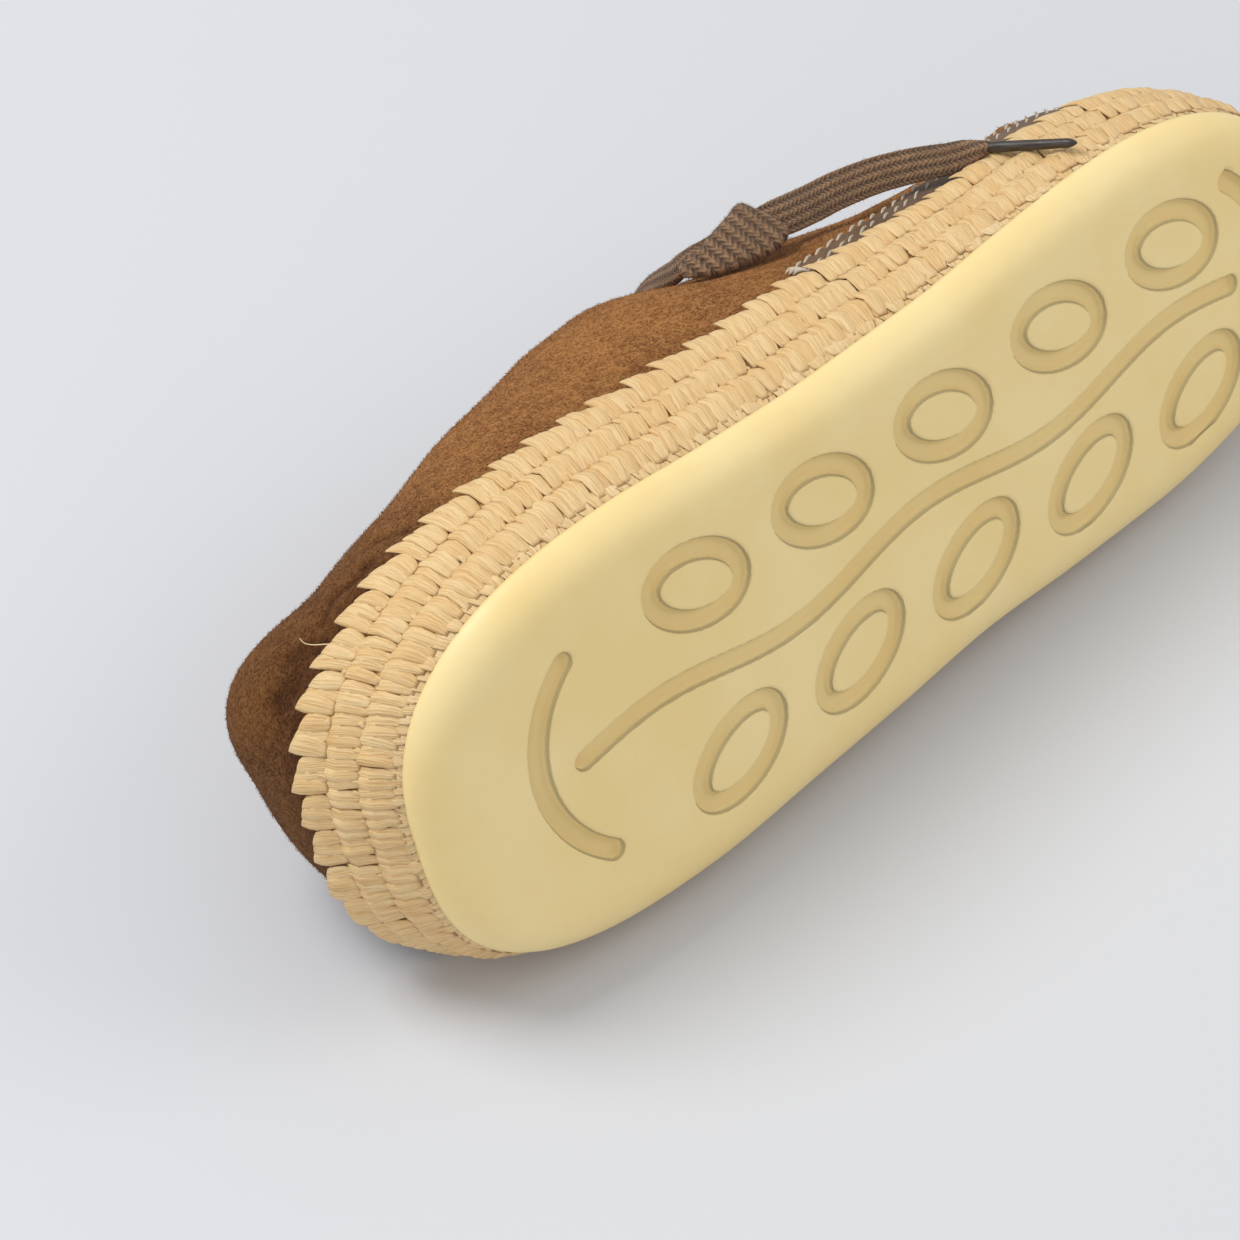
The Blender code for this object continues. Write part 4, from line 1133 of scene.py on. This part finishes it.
def make_band():
    """Backing wall of the band, its three plain courses, the loops between them and the toothed top."""
    run = np.linspace(0, RING_LENGTH, BACKING_PLACES, endpoint=False)[:, None]
    run, height, out = np.broadcast_arrays(run, np.array(BACKING["height"]), np.array(BACKING["out"]))
    marks = {"lift": np.full(height.size, BACKING_LIFT), "tone": np.full(height.size, BACKING_TONE)}
    faces = grid_faces(*height.shape, True, True)
    uv = np.stack([height, run], axis=-1)
    wall = put_mesh("raffia_backing", band_point(run, height, out), faces, [RAFFIA], uv, marks, (), True)
    finish_piece(wall, "raffia", "raffia_band")
    for name, low, high, seed, half, straw, crown, tuck in COURSES:
        draw = np.random.RandomState(seed + 40)
        places = (np.arange(WRAPS) + 0.5 * (seed % 2) + WRAP_JITTER * draw.uniform(-1, 1, WRAPS)) / WRAPS
        wider = 1 + TOE_CLOSER * np.cos(2 * math.pi * places)
        places = places + TOE_CLOSER / (2 * math.pi) * np.sin(2 * math.pi * places)
        middle, whole = spread(places, (low + high) / 2)
        half_wide = half * wider * whole / WRAPS
        put_wraps(name, middle, low, high, slant_at(middle), half_wide, seed, straw, crown, tuck)
    make_loops()
    make_teeth()


LOOPS = 130              # in one row
LOOP_ROWS = (("raffia_loops_low", 9.9), ("raffia_loops_high", 18.0))    # name and height
LOOP_JITTER = 0.3        # how far they stand off an even pitch
LOOP_REACH = 0.9         # half height of a loop
LOOP_HALF = 0.55         # half width of its strip
LOOP_VARY = 0.35         # how far single loops depart in height and place
LOOP_LEAN = 0.8          # share of the wraps' lean, turned the other way
LOOP_LEAN_MORE = 0.5     # most lean that a single loop adds


def make_loops():
    """Small twisted loops where the wraps of one course tuck under the next, leaning the other way."""
    draw = np.random.RandomState(61)
    for name, height in LOOP_ROWS:
        middle = spread((np.arange(LOOPS) + LOOP_JITTER * draw.uniform(-1, 1, LOOPS)) / LOOPS, height)[0]
        reach = LOOP_REACH + LOOP_VARY * draw.uniform(-1, 1, LOOPS)
        place = height + LOOP_VARY * draw.uniform(-1, 1, LOOPS)
        lean = -slant_at(middle) * LOOP_LEAN - LOOP_LEAN_MORE * draw.uniform(0, 1, LOOPS)
        put_wraps(
            name, middle, place - reach, place + reach, lean, LOOP_HALF, 62, RAFFIA,
            crown=0.3, tuck=0.2, raise_by=0.15,
        )


TOOTH_FOOT = 16.9
TOOTH_MIDDLE = 22.0
TOOTH_JITTER = 0.0003    # how far its strips stand off their places, as a share of the band's length
TOOTH_VARY = 0.3         # how far their tops depart
TOOTH = {                # strips of one tooth: place in its pitch, top, rise of its corner, half width
    "place": (0.2, 0.5, 0.79),
    "top": (23.9, 25.2, 26.5),
    "tip": (0.6, 0.65, 0.7),
    "half": (0.235, 0.24, 0.245),
}


def make_teeth():
    """Toothed top course: in each tooth three strips rise one past the other to a blunt leading corner."""
    draw = np.random.RandomState(31)
    tooth = np.arange(TEETH)[:, None]
    places = (tooth + np.array(TOOTH["place"])) / TEETH + TOOTH_JITTER * draw.uniform(-1, 1, (TEETH, 3))
    middle, whole = spread(places.ravel(), TOOTH_MIDDLE)
    top = (np.array(TOOTH["top"]) + TOOTH_VARY * draw.uniform(-1, 1, (TEETH, 3))).ravel()
    tip, half = (np.tile(TOOTH[column], TEETH) for column in ("tip", "half"))
    half_wide = half * whole / TEETH
    put_wraps(
        "raffia_teeth", middle, TOOTH_FOOT, top, slant_at(middle), half_wide, 31, RAFFIA,
        crown=0.58, tuck=0.12, raise_by=0.05, tip=tip,
    )


FIBRE_RADIUS = (0.18, 0.07)
FIBRE_ROUTE = (          # one stray straw fibre beside the toe
    (272.6, 34.6, 40.6),
    (274.1, 34.4, 43.6),
    (274.6, 33.6, 46.6),
    (274.6, 33.0, 49.6),
    (274.0, 33.1, 52.0),
)


def make_fibre():
    """Stray fibre: a thin tube that tapers along its route."""
    path = smooth_route(FIBRE_ROUTE, 0.8)[0]
    run = unit(np.gradient(path, axis=0))
    face = unit(np.cross(run, (0.0, 1.0, 0.0)))
    turn = full_turn(6)[:, None]
    ring = face[:, None] * np.cos(turn) + np.cross(run, face)[:, None] * np.sin(turn)
    points = path[:, None] + ring * np.linspace(*FIBRE_RADIUS, len(path))[:, None, None]
    ones = np.ones(points.shape[:2])
    uv = np.zeros(points.shape[:2] + (2,))
    fibre = put_tubes("raffia_fibre", points[None], PALE_RAFFIA, uv, {"lift": ones, "tone": 0.8 * ones}, True)
    finish_piece(fibre, "raffia")


make_fibre()
make_band()


# Rubber sole

def stem_path():
    """Waving line along the middle of the tread, a sine."""
    x = np.linspace(STEM_START, STEM_END, 260)
    wave = (x - STEM_START) / (STEM_END - STEM_START) * STEM_BENDS * 2 * math.pi
    return np.column_stack([x, STEM_SWING * np.sin(wave)])


def leaf_path(along, across):
    """Oval beside the stem, an ellipse tilted outwards towards the toe."""
    turn = full_turn(110)
    tilt = math.copysign(math.radians(LEAF_TILT), across)
    long_way = LEAF_LONG * np.cos(turn)
    short_way = LEAF_WIDE * np.sin(turn)
    x = along + long_way * math.cos(tilt) - short_way * math.sin(tilt)
    y = across + long_way * math.sin(tilt) + short_way * math.cos(tilt)
    return np.column_stack([x, y])


def end_arc_path(arc, way):
    """Arc of a circle that follows the toe, or the heel where the way is -1."""
    turn = np.radians(np.linspace(-arc["sweep"], arc["sweep"], 110))
    x, y = arc["radius"] * np.cos(turn), arc["radius"] * np.sin(turn)
    return np.column_stack([arc["along"] + way * x, y])


def groove_distance(plan):
    """Distance of each point of the tread to the nearest groove line, at most GROOVE_FAR."""
    near = np.full(len(plan), GROOVE_FAR)
    paths = [stem_path(), end_arc_path(TOE_ARC, 1), end_arc_path(HEEL_ARC, -1)]
    for along, across in zip(LEAVES["along"], LEAVES["across"]):
        paths += [leaf_path(along, across), leaf_path(along, -across)]
    reach = GROOVE_FAR + 1
    for path in paths:
        box = np.all((plan > path.min(axis=0) - reach) & (plan < path.max(axis=0) + reach), axis=1)
        away = np.linalg.norm(plan[box][:, None] - path[None], axis=2).min(axis=1)
        near[box] = np.minimum(near[box], away)
    return near


TREAD_DEEP = 2.0         # height up to which the tread's face and its first rounding reach


def make_sole():
    """Rubber sole: the grooved tread across the shoe, then rings out over its rim and back to the cup."""
    count, across_count = 480, 126
    along, side = ring_stations(count)
    size = 2 * count
    rim_share = np.linspace(0, 5, 13)
    insets = between_rows(RIM, "inset", rim_share)
    heights = between_rows(RIM, "height", rim_share)
    cup = PLINTH_INSET + CUP_WALL
    steps = [(PLINTH_INSET, RIM_TOP), (PLINTH_INSET, PLINTH_TOP), (cup, PLINTH_TOP), (cup, CUP_FLOOR)]
    steps = list(zip(insets, heights)) + steps
    rings = [ring_level(along, side, -inset, height) for inset, height in steps]
    ring_points = np.concatenate(rings)
    ring_quads = grid_faces(len(rings), size, True)
    outer = rings[0][1:count]
    inner = rings[0][:count:-1]
    share = np.linspace(0, 1, across_count)[None, 1:-1, None]
    cross_points = (outer[:, None] + (inner - outer)[:, None] * share).reshape(-1, 3)
    number = len(ring_points) + np.arange(len(cross_points)).reshape(count - 1, -1)
    left = np.arange(1, count)[:, None]
    right = (size - np.arange(1, count))[:, None]
    table = np.concatenate([left, number, right], axis=1)
    corners = [table[:-1, :-1], table[:-1, 1:], table[1:, 1:], table[1:, :-1]]
    quads = np.stack(corners, axis=-1).reshape(-1, 4)
    fans = [(0, table[0, c + 1], table[0, c]) for c in range(across_count - 1)]
    fans += [(count, table[-1, c], table[-1, c + 1]) for c in range(across_count - 1)]
    caps = np.array(fans).tolist() + ring_floor((len(rings) - 1) * size, count, True)
    points = np.concatenate([ring_points, cross_points])
    groove = np.full(len(points), GROOVE_FAR)
    low = points[:, 2] - spring(points[:, 0]) < TREAD_DEEP
    groove[low] = groove_distance(points[low, :2])
    points[:, 2] += GROOVE_DEPTH * (1 - smooth_step(GROOVE_BED, GROOVE_EDGE, groove))
    faces = np.concatenate([ring_quads[:, ::-1], quads])
    sole = put_mesh("rubber_sole", points, faces, [RUBBER], None, {"groove": groove}, caps)
    finish_piece(sole, "cream_rubber", "outsole")


make_sole()


# Suede upper, tongue, counter and footbed

CREASES = (              # route on the suede, depth and half width
    (((245.6, 45.7, 44.2), (246.9, 44.8, 47.8), (248.7, 43.5, 51.1), (250.6, 42.3, 53.1)), 0.6, 1.5),
    (((255.2, 42.6, 47.0), (259.1, 41.0, 47.6), (261.6, 39.3, 49.7), (263.7, 37.6, 51.9)), 0.8, 1.6),
    (((263.7, 37.6, 51.9), (266.6, 36.8, 50.4), (269.1, 35.4, 49.2)), 0.6, 1.6),
    (((274.2, 31.6, 47.0), (275.2, 31.1, 50.2), (276.4, 29.4, 53.2)), 0.9, 3.0),
    (((278.7, 27.8, 49.1), (281.4, 25.0, 50.8), (283.2, 22.1, 52.4)), 0.8, 3.4),
)
CREASE_NEAR = 20         # how far from its middle a crease is looked for
CREASE_STEP = 0.7
CREASE_PAINTED_SHADE = 0.75       # painted shade along its line for each millimetre of depth
CREASE_PAINTED_SHADE_WIDE = 0.7   # width of that line, as a share of the crease's own
NOSE = np.array((283.0, 12.0, 71.4))         # middle of the toe's swelling
NOSE_REACH = 16.0
NOSE_OUT = 4.2


def creased(grid, shade):
    """Push the suede in along each crease by a bell of its depth and width, and darken its line with painted
    shade.
    """
    depth = np.zeros(shade.shape)
    dark = np.zeros(shade.shape)
    for route, deep, wide in CREASES:
        path = smooth_route(route, CREASE_STEP)[0]
        near = np.abs(grid - path.mean(axis=0)).max(axis=2) < CREASE_NEAR
        away = np.linalg.norm(grid[near][:, None] - path[None], axis=2).min(axis=1)
        depth[near] = np.maximum(depth[near], deep * np.exp(-(away / wide) ** 2))
        # painted shade along the crease's line
        line = CREASE_PAINTED_SHADE * deep * np.exp(-(away / (CREASE_PAINTED_SHADE_WIDE * wide)) ** 2)
        dark[near] = np.maximum(dark[near], line)
    return grid - outward_of(grid) * depth[..., None], np.clip(shade + dark, 0, 1)


NAP_COUNT = 36000
NAP_LONG = 1.5
NAP_FOOT = 0.09          # radius of a loose fibre's foot


def make_nap(grid, shade):
    """Loose suede fibres over the upper."""
    draw = np.random.RandomState(71)
    row, column, foot = scatter(grid, NAP_COUNT, draw)
    out = outward_of(grid)[row, column]
    nap = put_spikes("suede_nap", foot, out, draw, NAP_LONG, NAP_FOOT, NAP, shade[row, column])
    finish_piece(nap, "brown_suede")


BAND_SHADE = 0.55        # painted shade darkening the suede beside the band
BAND_SHADE_REACH = 4.5
FRONT_SHADE = 0.68       # painted shade darkening the toe, over a stretch from its first place to its second
FRONT_SHADE_ALONG = (214, 268)
SUEDE_WALL = WALL - 0.3
SUEDE_RIM = 0.5          # rounding of its cut edges


def make_upper():
    """Suede upper: a sheet from its foot over the arch to the collar, throat and ridge, with its wall."""
    count, foot_levels, arch_levels = 220, 5, 70
    along, side = ring_stations(count)
    size = len(along)
    lean = by_side(LEAN, along, side)
    levels = []
    for share in np.linspace(0, 1, foot_levels, endpoint=False):
        height = UPPER_FOOT + (BAND_TOP - UPPER_FOOT) * share
        levels.append(ring_level(along, side, lean * share - UPPER_INSET, height))
    angles = even_angles(along, side, np.zeros(size), top_angle(along, side), arch_levels)
    surface = arch(along[:, None], side[:, None], angles)
    levels += list(np.moveaxis(surface, 0, 1))
    grid = np.array(levels)
    rows = len(levels)
    above = np.clip(grid[..., 2] - BAND_TOP - spring(along)[None], 0, None)
    # painted shade: darker beside the band and at the toe
    shade = BAND_SHADE * np.exp(-above / BAND_SHADE_REACH)
    shade = np.clip(shade + FRONT_SHADE * smooth_step(*FRONT_SHADE_ALONG, grid[..., 0]), 0, 1)
    nose = NOSE_OUT * np.exp(-(np.linalg.norm(grid - NOSE, axis=2) / NOSE_REACH) ** 2)
    grid = grid + outward_of(grid) * nose[..., None]
    grid, shade = creased(grid, shade)
    make_nap(grid[foot_levels - 1:], shade[foot_levels - 1:])
    top = (rows - 1) * size
    number = np.arange(rows * size)
    mirror = np.arange(count + 1, size)
    mirror = mirror[along[mirror] >= THROAT_X]
    number[top + mirror] = top + size - mirror
    faces = number[grid_faces(rows, size, True)]
    toe = faces[:, 2] == faces[:, 3]
    caps = faces[toe][:, :3].tolist()
    upper = put_mesh("suede_upper", grid, faces[~toe], [SUEDE, LINING], None, {"shade": shade}, caps)
    add_thickness(upper, SUEDE_WALL, -1, SUEDE_RIM)
    finish_piece(upper, "brown_suede", "upper")


SHOE_MIDDLE = (150, 0, 30)


def looks_in(grid, normal):
    """Whether a sheet's normals point to the middle of the shoe."""
    return normal[grid.shape[0] // 2, grid.shape[1] // 2] @ (grid.mean(axis=(0, 1)) - SHOE_MIDDLE) < 0


def put_sheet(name, grid, outward, thickness, materials, marks, rim):
    """Piece cut from the upper's surface: a grid moved along its normals and given a thickness."""
    normal = grid_normals(grid)
    if looks_in(grid, normal):
        grid = grid[:, ::-1]
        normal = -normal[:, ::-1]
    piece = put_mesh(name, grid + normal * outward, grid_faces(*grid.shape[:2]), materials, None, marks)
    add_thickness(piece, abs(thickness), math.copysign(1, thickness), rim)
    return piece


TONGUE_END_TO = 122.0    # place in front of which its rows run straight across
# painted shade over the whole tongue, which lies under the throat
TONGUE_SHADE = 0.2
TONGUE_RIM = 0.6


def make_tongue():
    """Tongue under the throat, cut from the upper's own surface and moved inside its wall."""
    places = np.linspace(TONGUE_REAR, TONGUE_FRONT, 60)
    across = np.linspace(1, -1, 43)
    reach = TONGUE_END * (1 - smooth_step(TONGUE_REAR, TONGUE_END_TO, places))
    along = (places[:, None] - reach[:, None] * np.cos(math.pi / 2 * across) ** 2).ravel()
    side = np.tile(np.where(across >= 0, 1.0, -1.0), len(places))
    away = (between_rows(TONGUE, "half", places)[:, None] * np.abs(across)).ravel()
    grid = arch(along, side, angle_from_ridge(along, side, away)).reshape(len(places), len(across), 3)
    marks = {"shade": np.full(grid.shape[:2], TONGUE_SHADE)}
    inward = WALL + TONGUE_GAP
    tongue = put_sheet("suede_tongue", grid, -inward, -TONGUE_WALL, [SUEDE, LINING], marks, TONGUE_RIM)
    finish_piece(tongue, "brown_suede", "tongue")


COUNTER_RAISE = 0.9      # how far its lower edge is above the band's top
COUNTER_OUT = 0.3        # how far its back lies off the suede
COUNTER_RIM = 0.35
STITCH_PITCH = 4.0       # along the counter's top
STITCH_PITCH_FRONT = 1.3


def make_counter():
    """Leather counter round the heel, with two rows of whip stitches at its top and one at its front."""
    half = half_stations(150)
    half = half[half < COUNTER_FRONT]
    along = np.concatenate([[COUNTER_FRONT], half[::-1], half[1:], [COUNTER_FRONT]])
    side = np.concatenate([np.ones(len(half) + 1), -np.ones(len(half))])
    edge_height = between_rows(COUNTER_EDGE, "height", along)
    low = angle_at_height(along, side, BAND_TOP + spring(along) + COUNTER_RAISE)
    high = angle_at_height(along, side, edge_height)
    grid = arch(along[:, None], side[:, None], even_angles(along, side, low, high, 12))
    counter = put_sheet("leather_counter", grid, COUNTER_OUT, COUNTER_WALL, [COUNTER], None, COUNTER_RIM)
    finish_piece(counter, "dark_leather", "heel_counter")
    normal = grid_normals(grid)
    if looks_in(grid, normal):
        normal = -normal
    line = arch(along, side, angle_at_height(along, side, edge_height - STITCH_GAP))
    rows = (
        ("top", grid[:, -1], normal[:, -1], grid[:, -1] - grid[:, -3], 51, STITCH_PITCH),
        ("foot", line, normal[:, 5], grid[:, 5] - grid[:, 7], 52, STITCH_PITCH),
        ("front", grid[0, 3:], normal[0, 3:], (grid[0] - grid[2])[3:], 53, STITCH_PITCH_FRONT),
    )
    for name, *row in rows:
        make_stitches("counter_stitches_" + name, *row)


STITCH_REACH = 2.3       # half length of a whip stitch
STITCH_RADIUS = 0.64     # of its thread
STITCH_RISE = 1.55       # how far its middle stands off the leather
STITCH_DIVE = 1.0        # and how much deeper its ends are
STITCH_UP = 0.45         # its slant: parts of its half length up and along the edge
STITCH_AHEAD = 0.9
STITCH_FLAT = 0.8        # height of the thread's section, as a share of its width
STITCH_JITTER = 0.5      # how far single stitches stand off an even pitch
STITCH_VARY = 0.3        # and how far they depart in length


def make_stitches(name, line, out, up, seed, pitch):
    """Whip stitches over an edge: short slanted closed loops of thread at an even pitch along a line."""
    draw = np.random.RandomState(seed)
    run = run_of(line)
    at = np.arange(pitch / 2, run[-1], pitch)
    count = len(at)
    at = at + STITCH_JITTER * draw.uniform(-1, 1, count)
    place, face, rise = (rows_at(at, run, table) for table in (line, out, unit(up)))
    ahead = np.cross(rise, face)
    share = np.linspace(-1, 1, 6)[None, :, None]
    reach = STITCH_REACH * (1 + STITCH_VARY * draw.uniform(-1, 1, count))[:, None, None]
    axis = place[:, None] + rise[:, None] * (share * reach * STITCH_UP)
    axis = axis + ahead[:, None] * (share * reach * STITCH_AHEAD)
    axis = axis + face[:, None] * (STITCH_RISE - STITCH_DIVE * np.abs(share) ** 3)
    turn = full_turn(6)
    radius = STITCH_RADIUS * np.sqrt(np.clip(1.04 - share ** 4, 0, 1))[..., None]
    flat = ahead[:, None, None] * np.cos(turn)[None, None, :, None]
    tall = face[:, None, None] * np.sin(turn)[None, None, :, None] * STITCH_FLAT
    uv = np.stack(np.broadcast_arrays(share * reach + 9.0 * at[:, None, None], turn * 0.5), axis=-1)
    finish_piece(put_tubes(name, axis[:, :, None] + (flat + tall) * radius, THREAD, uv), "dark_leather")


FOOTBED_GAP = 0.3        # to the sole under it
FOOTBED_SIDE_GAP = 0.6   # to the wall of the sole's hollow
FOOTBED_EDGE = ((0, -1.4), (0.5, -0.4), (1.6, 0), (6, -0.5), (14, -1.0))    # inset and lift of its top


def make_footbed():
    """Moulded footbed in the sole's hollow: rings from its foot up to a dished top."""
    count = 120
    along, side = ring_stations(count)
    size = 2 * count
    cup = PLINTH_INSET + CUP_WALL + FOOTBED_SIDE_GAP
    step = PLINTH_TOP + FOOTBED_GAP
    top = step + INSOLE_THICK
    levels = [(cup, CUP_FLOOR + FOOTBED_GAP), (cup, step), (INSOLE_INSET, step)]
    levels += [(INSOLE_INSET + inset, top + lift) for inset, lift in FOOTBED_EDGE]
    points = np.concatenate([ring_level(along, side, -inset, height) for inset, height in levels])
    faces = grid_faces(len(levels), size, True)
    caps = ring_floor(0, count, False) + ring_floor((len(levels) - 1) * size, count, True)
    footbed = put_mesh("footbed_leather", points, faces, [LINING], None, None, caps, True)
    finish_piece(footbed, "footbed", "insole")


BAR_LIFT = 1.3           # how far a lace bar lies off the suede
BAR_DIVE = 3.2           # how far its ends go down into their eyelets
BAR_DIP = 2.0            # how far its middle hangs into the throat
BAR_STRAIGHT = 0.7       # how much of the upper's bend its run loses
BAR_PAST = 1.5           # how far it reaches past the middle of an eyelet
BAR_POINTS = 24          # on each side of the ridge
BAR_DIVE_FROM = 0.86     # where it dives, dips and narrows, as shares of its half length
BAR_DIP_SPAN = (0.2, 0.62)
BAR_NARROW_FROM = 0.7
BAR_NARROW = 0.5         # how much narrower its ends are


def make_bars():
    """Lace across the throat: flat ribbons over the ridge that dive into their eyelets."""
    for name, place in zip(("front", "middle", "rear"), EYELETS_ALONG):
        places = place + np.array((-1.0, 0.0, 1.0))
        line = over_ridge(places, np.full(3, EYELET_FROM_RIDGE + BAR_PAST), BAR_POINTS)
        normal = grid_normals(line)[1]
        if normal[BAR_POINTS - 1, 2] < 0:
            normal = -normal
        share = np.abs(np.linspace(-1, 1, len(normal)))
        lift = BAR_LIFT - BAR_DIVE * smooth_step(BAR_DIVE_FROM, 1.0, share)
        lift = lift - BAR_DIP * (1 - smooth_step(*BAR_DIP_SPAN, share))
        path = line[1] + normal * lift[:, None]
        straight = np.linspace(path[0, 0], path[-1, 0], len(path))
        path[:, 0] += BAR_STRAIGHT * (straight - path[:, 0])
        half_wide = LACE_WIDE / 2 * (1 - BAR_NARROW * smooth_step(BAR_NARROW_FROM, 1.0, share))
        bar = put_ribbon("lace_over_" + name, path, normal, half_wide, LACE_THICK / 2)[0]
        finish_piece(bar, "taupe_lace", "lace_bar_" + name)


make_upper()
make_tongue()
make_counter()
make_footbed()
make_bars()


# Floor and light

FLOOR_REACH = 6          # half width of the floor
SKY_COLOUR = (0.96, 0.98, 1.0, 1.0)
SKY_POWER = 0.55
LAMPS = (                # name, place, aim, size and power
    ("key", (-0.45, 0.75, 1.5), (0.0, 0.0, 0.05), 0.9, 17.5),
    ("fill", (0.8, -0.75, 0.85), (0.05, 0.0, 0.05), 0.8, 4.0),
    ("toe", (-1.0, -0.35, 0.55), (-0.1, 0.0, 0.05), 0.8, 1.5),
)


def make_stage():
    """Pale floor, a soft sky, a broad lamp above and behind the shoe, and two weaker ones."""
    mesh = bpy.data.meshes.new("floor")
    corners = [(x * FLOOR_REACH, y * FLOOR_REACH, 0) for x, y in ((-1, -1), (1, -1), (1, 1), (-1, 1))]
    mesh.from_pydata(corners, [], [(0, 1, 2, 3)])
    material, start, shader = new_material("studio_floor")
    cloud = object_noise(start, 900.0)
    colour = cloud.between(0.3, 0.7).blend(rgb(206, 207, 210), rgb(210, 211, 214))
    plug_in(start, shader, colour, 0.8)
    mesh.materials.append(material)
    add_item("floor", mesh)
    world = bpy.data.worlds.new("studio")
    bpy.context.scene.world = world
    world.use_nodes = True
    sky = world.node_tree.nodes["Background"]
    sky.inputs["Color"].default_value = SKY_COLOUR
    sky.inputs["Strength"].default_value = SKY_POWER
    for name, place, aim, size, power in LAMPS:
        lamp = bpy.data.lights.new(name, "AREA")
        lamp.shape = "DISK"
        lamp.size = size
        lamp.energy = power
        back = unit(np.array(place) - aim)
        right = unit(np.cross((0.0, 0.0, 1.0), back))
        set_place(add_item(name, lamp), right, np.cross(back, right), back, place)


make_stage()
bpy.context.scene.view_settings.view_transform = "Standard"
bpy.context.view_layer.update()
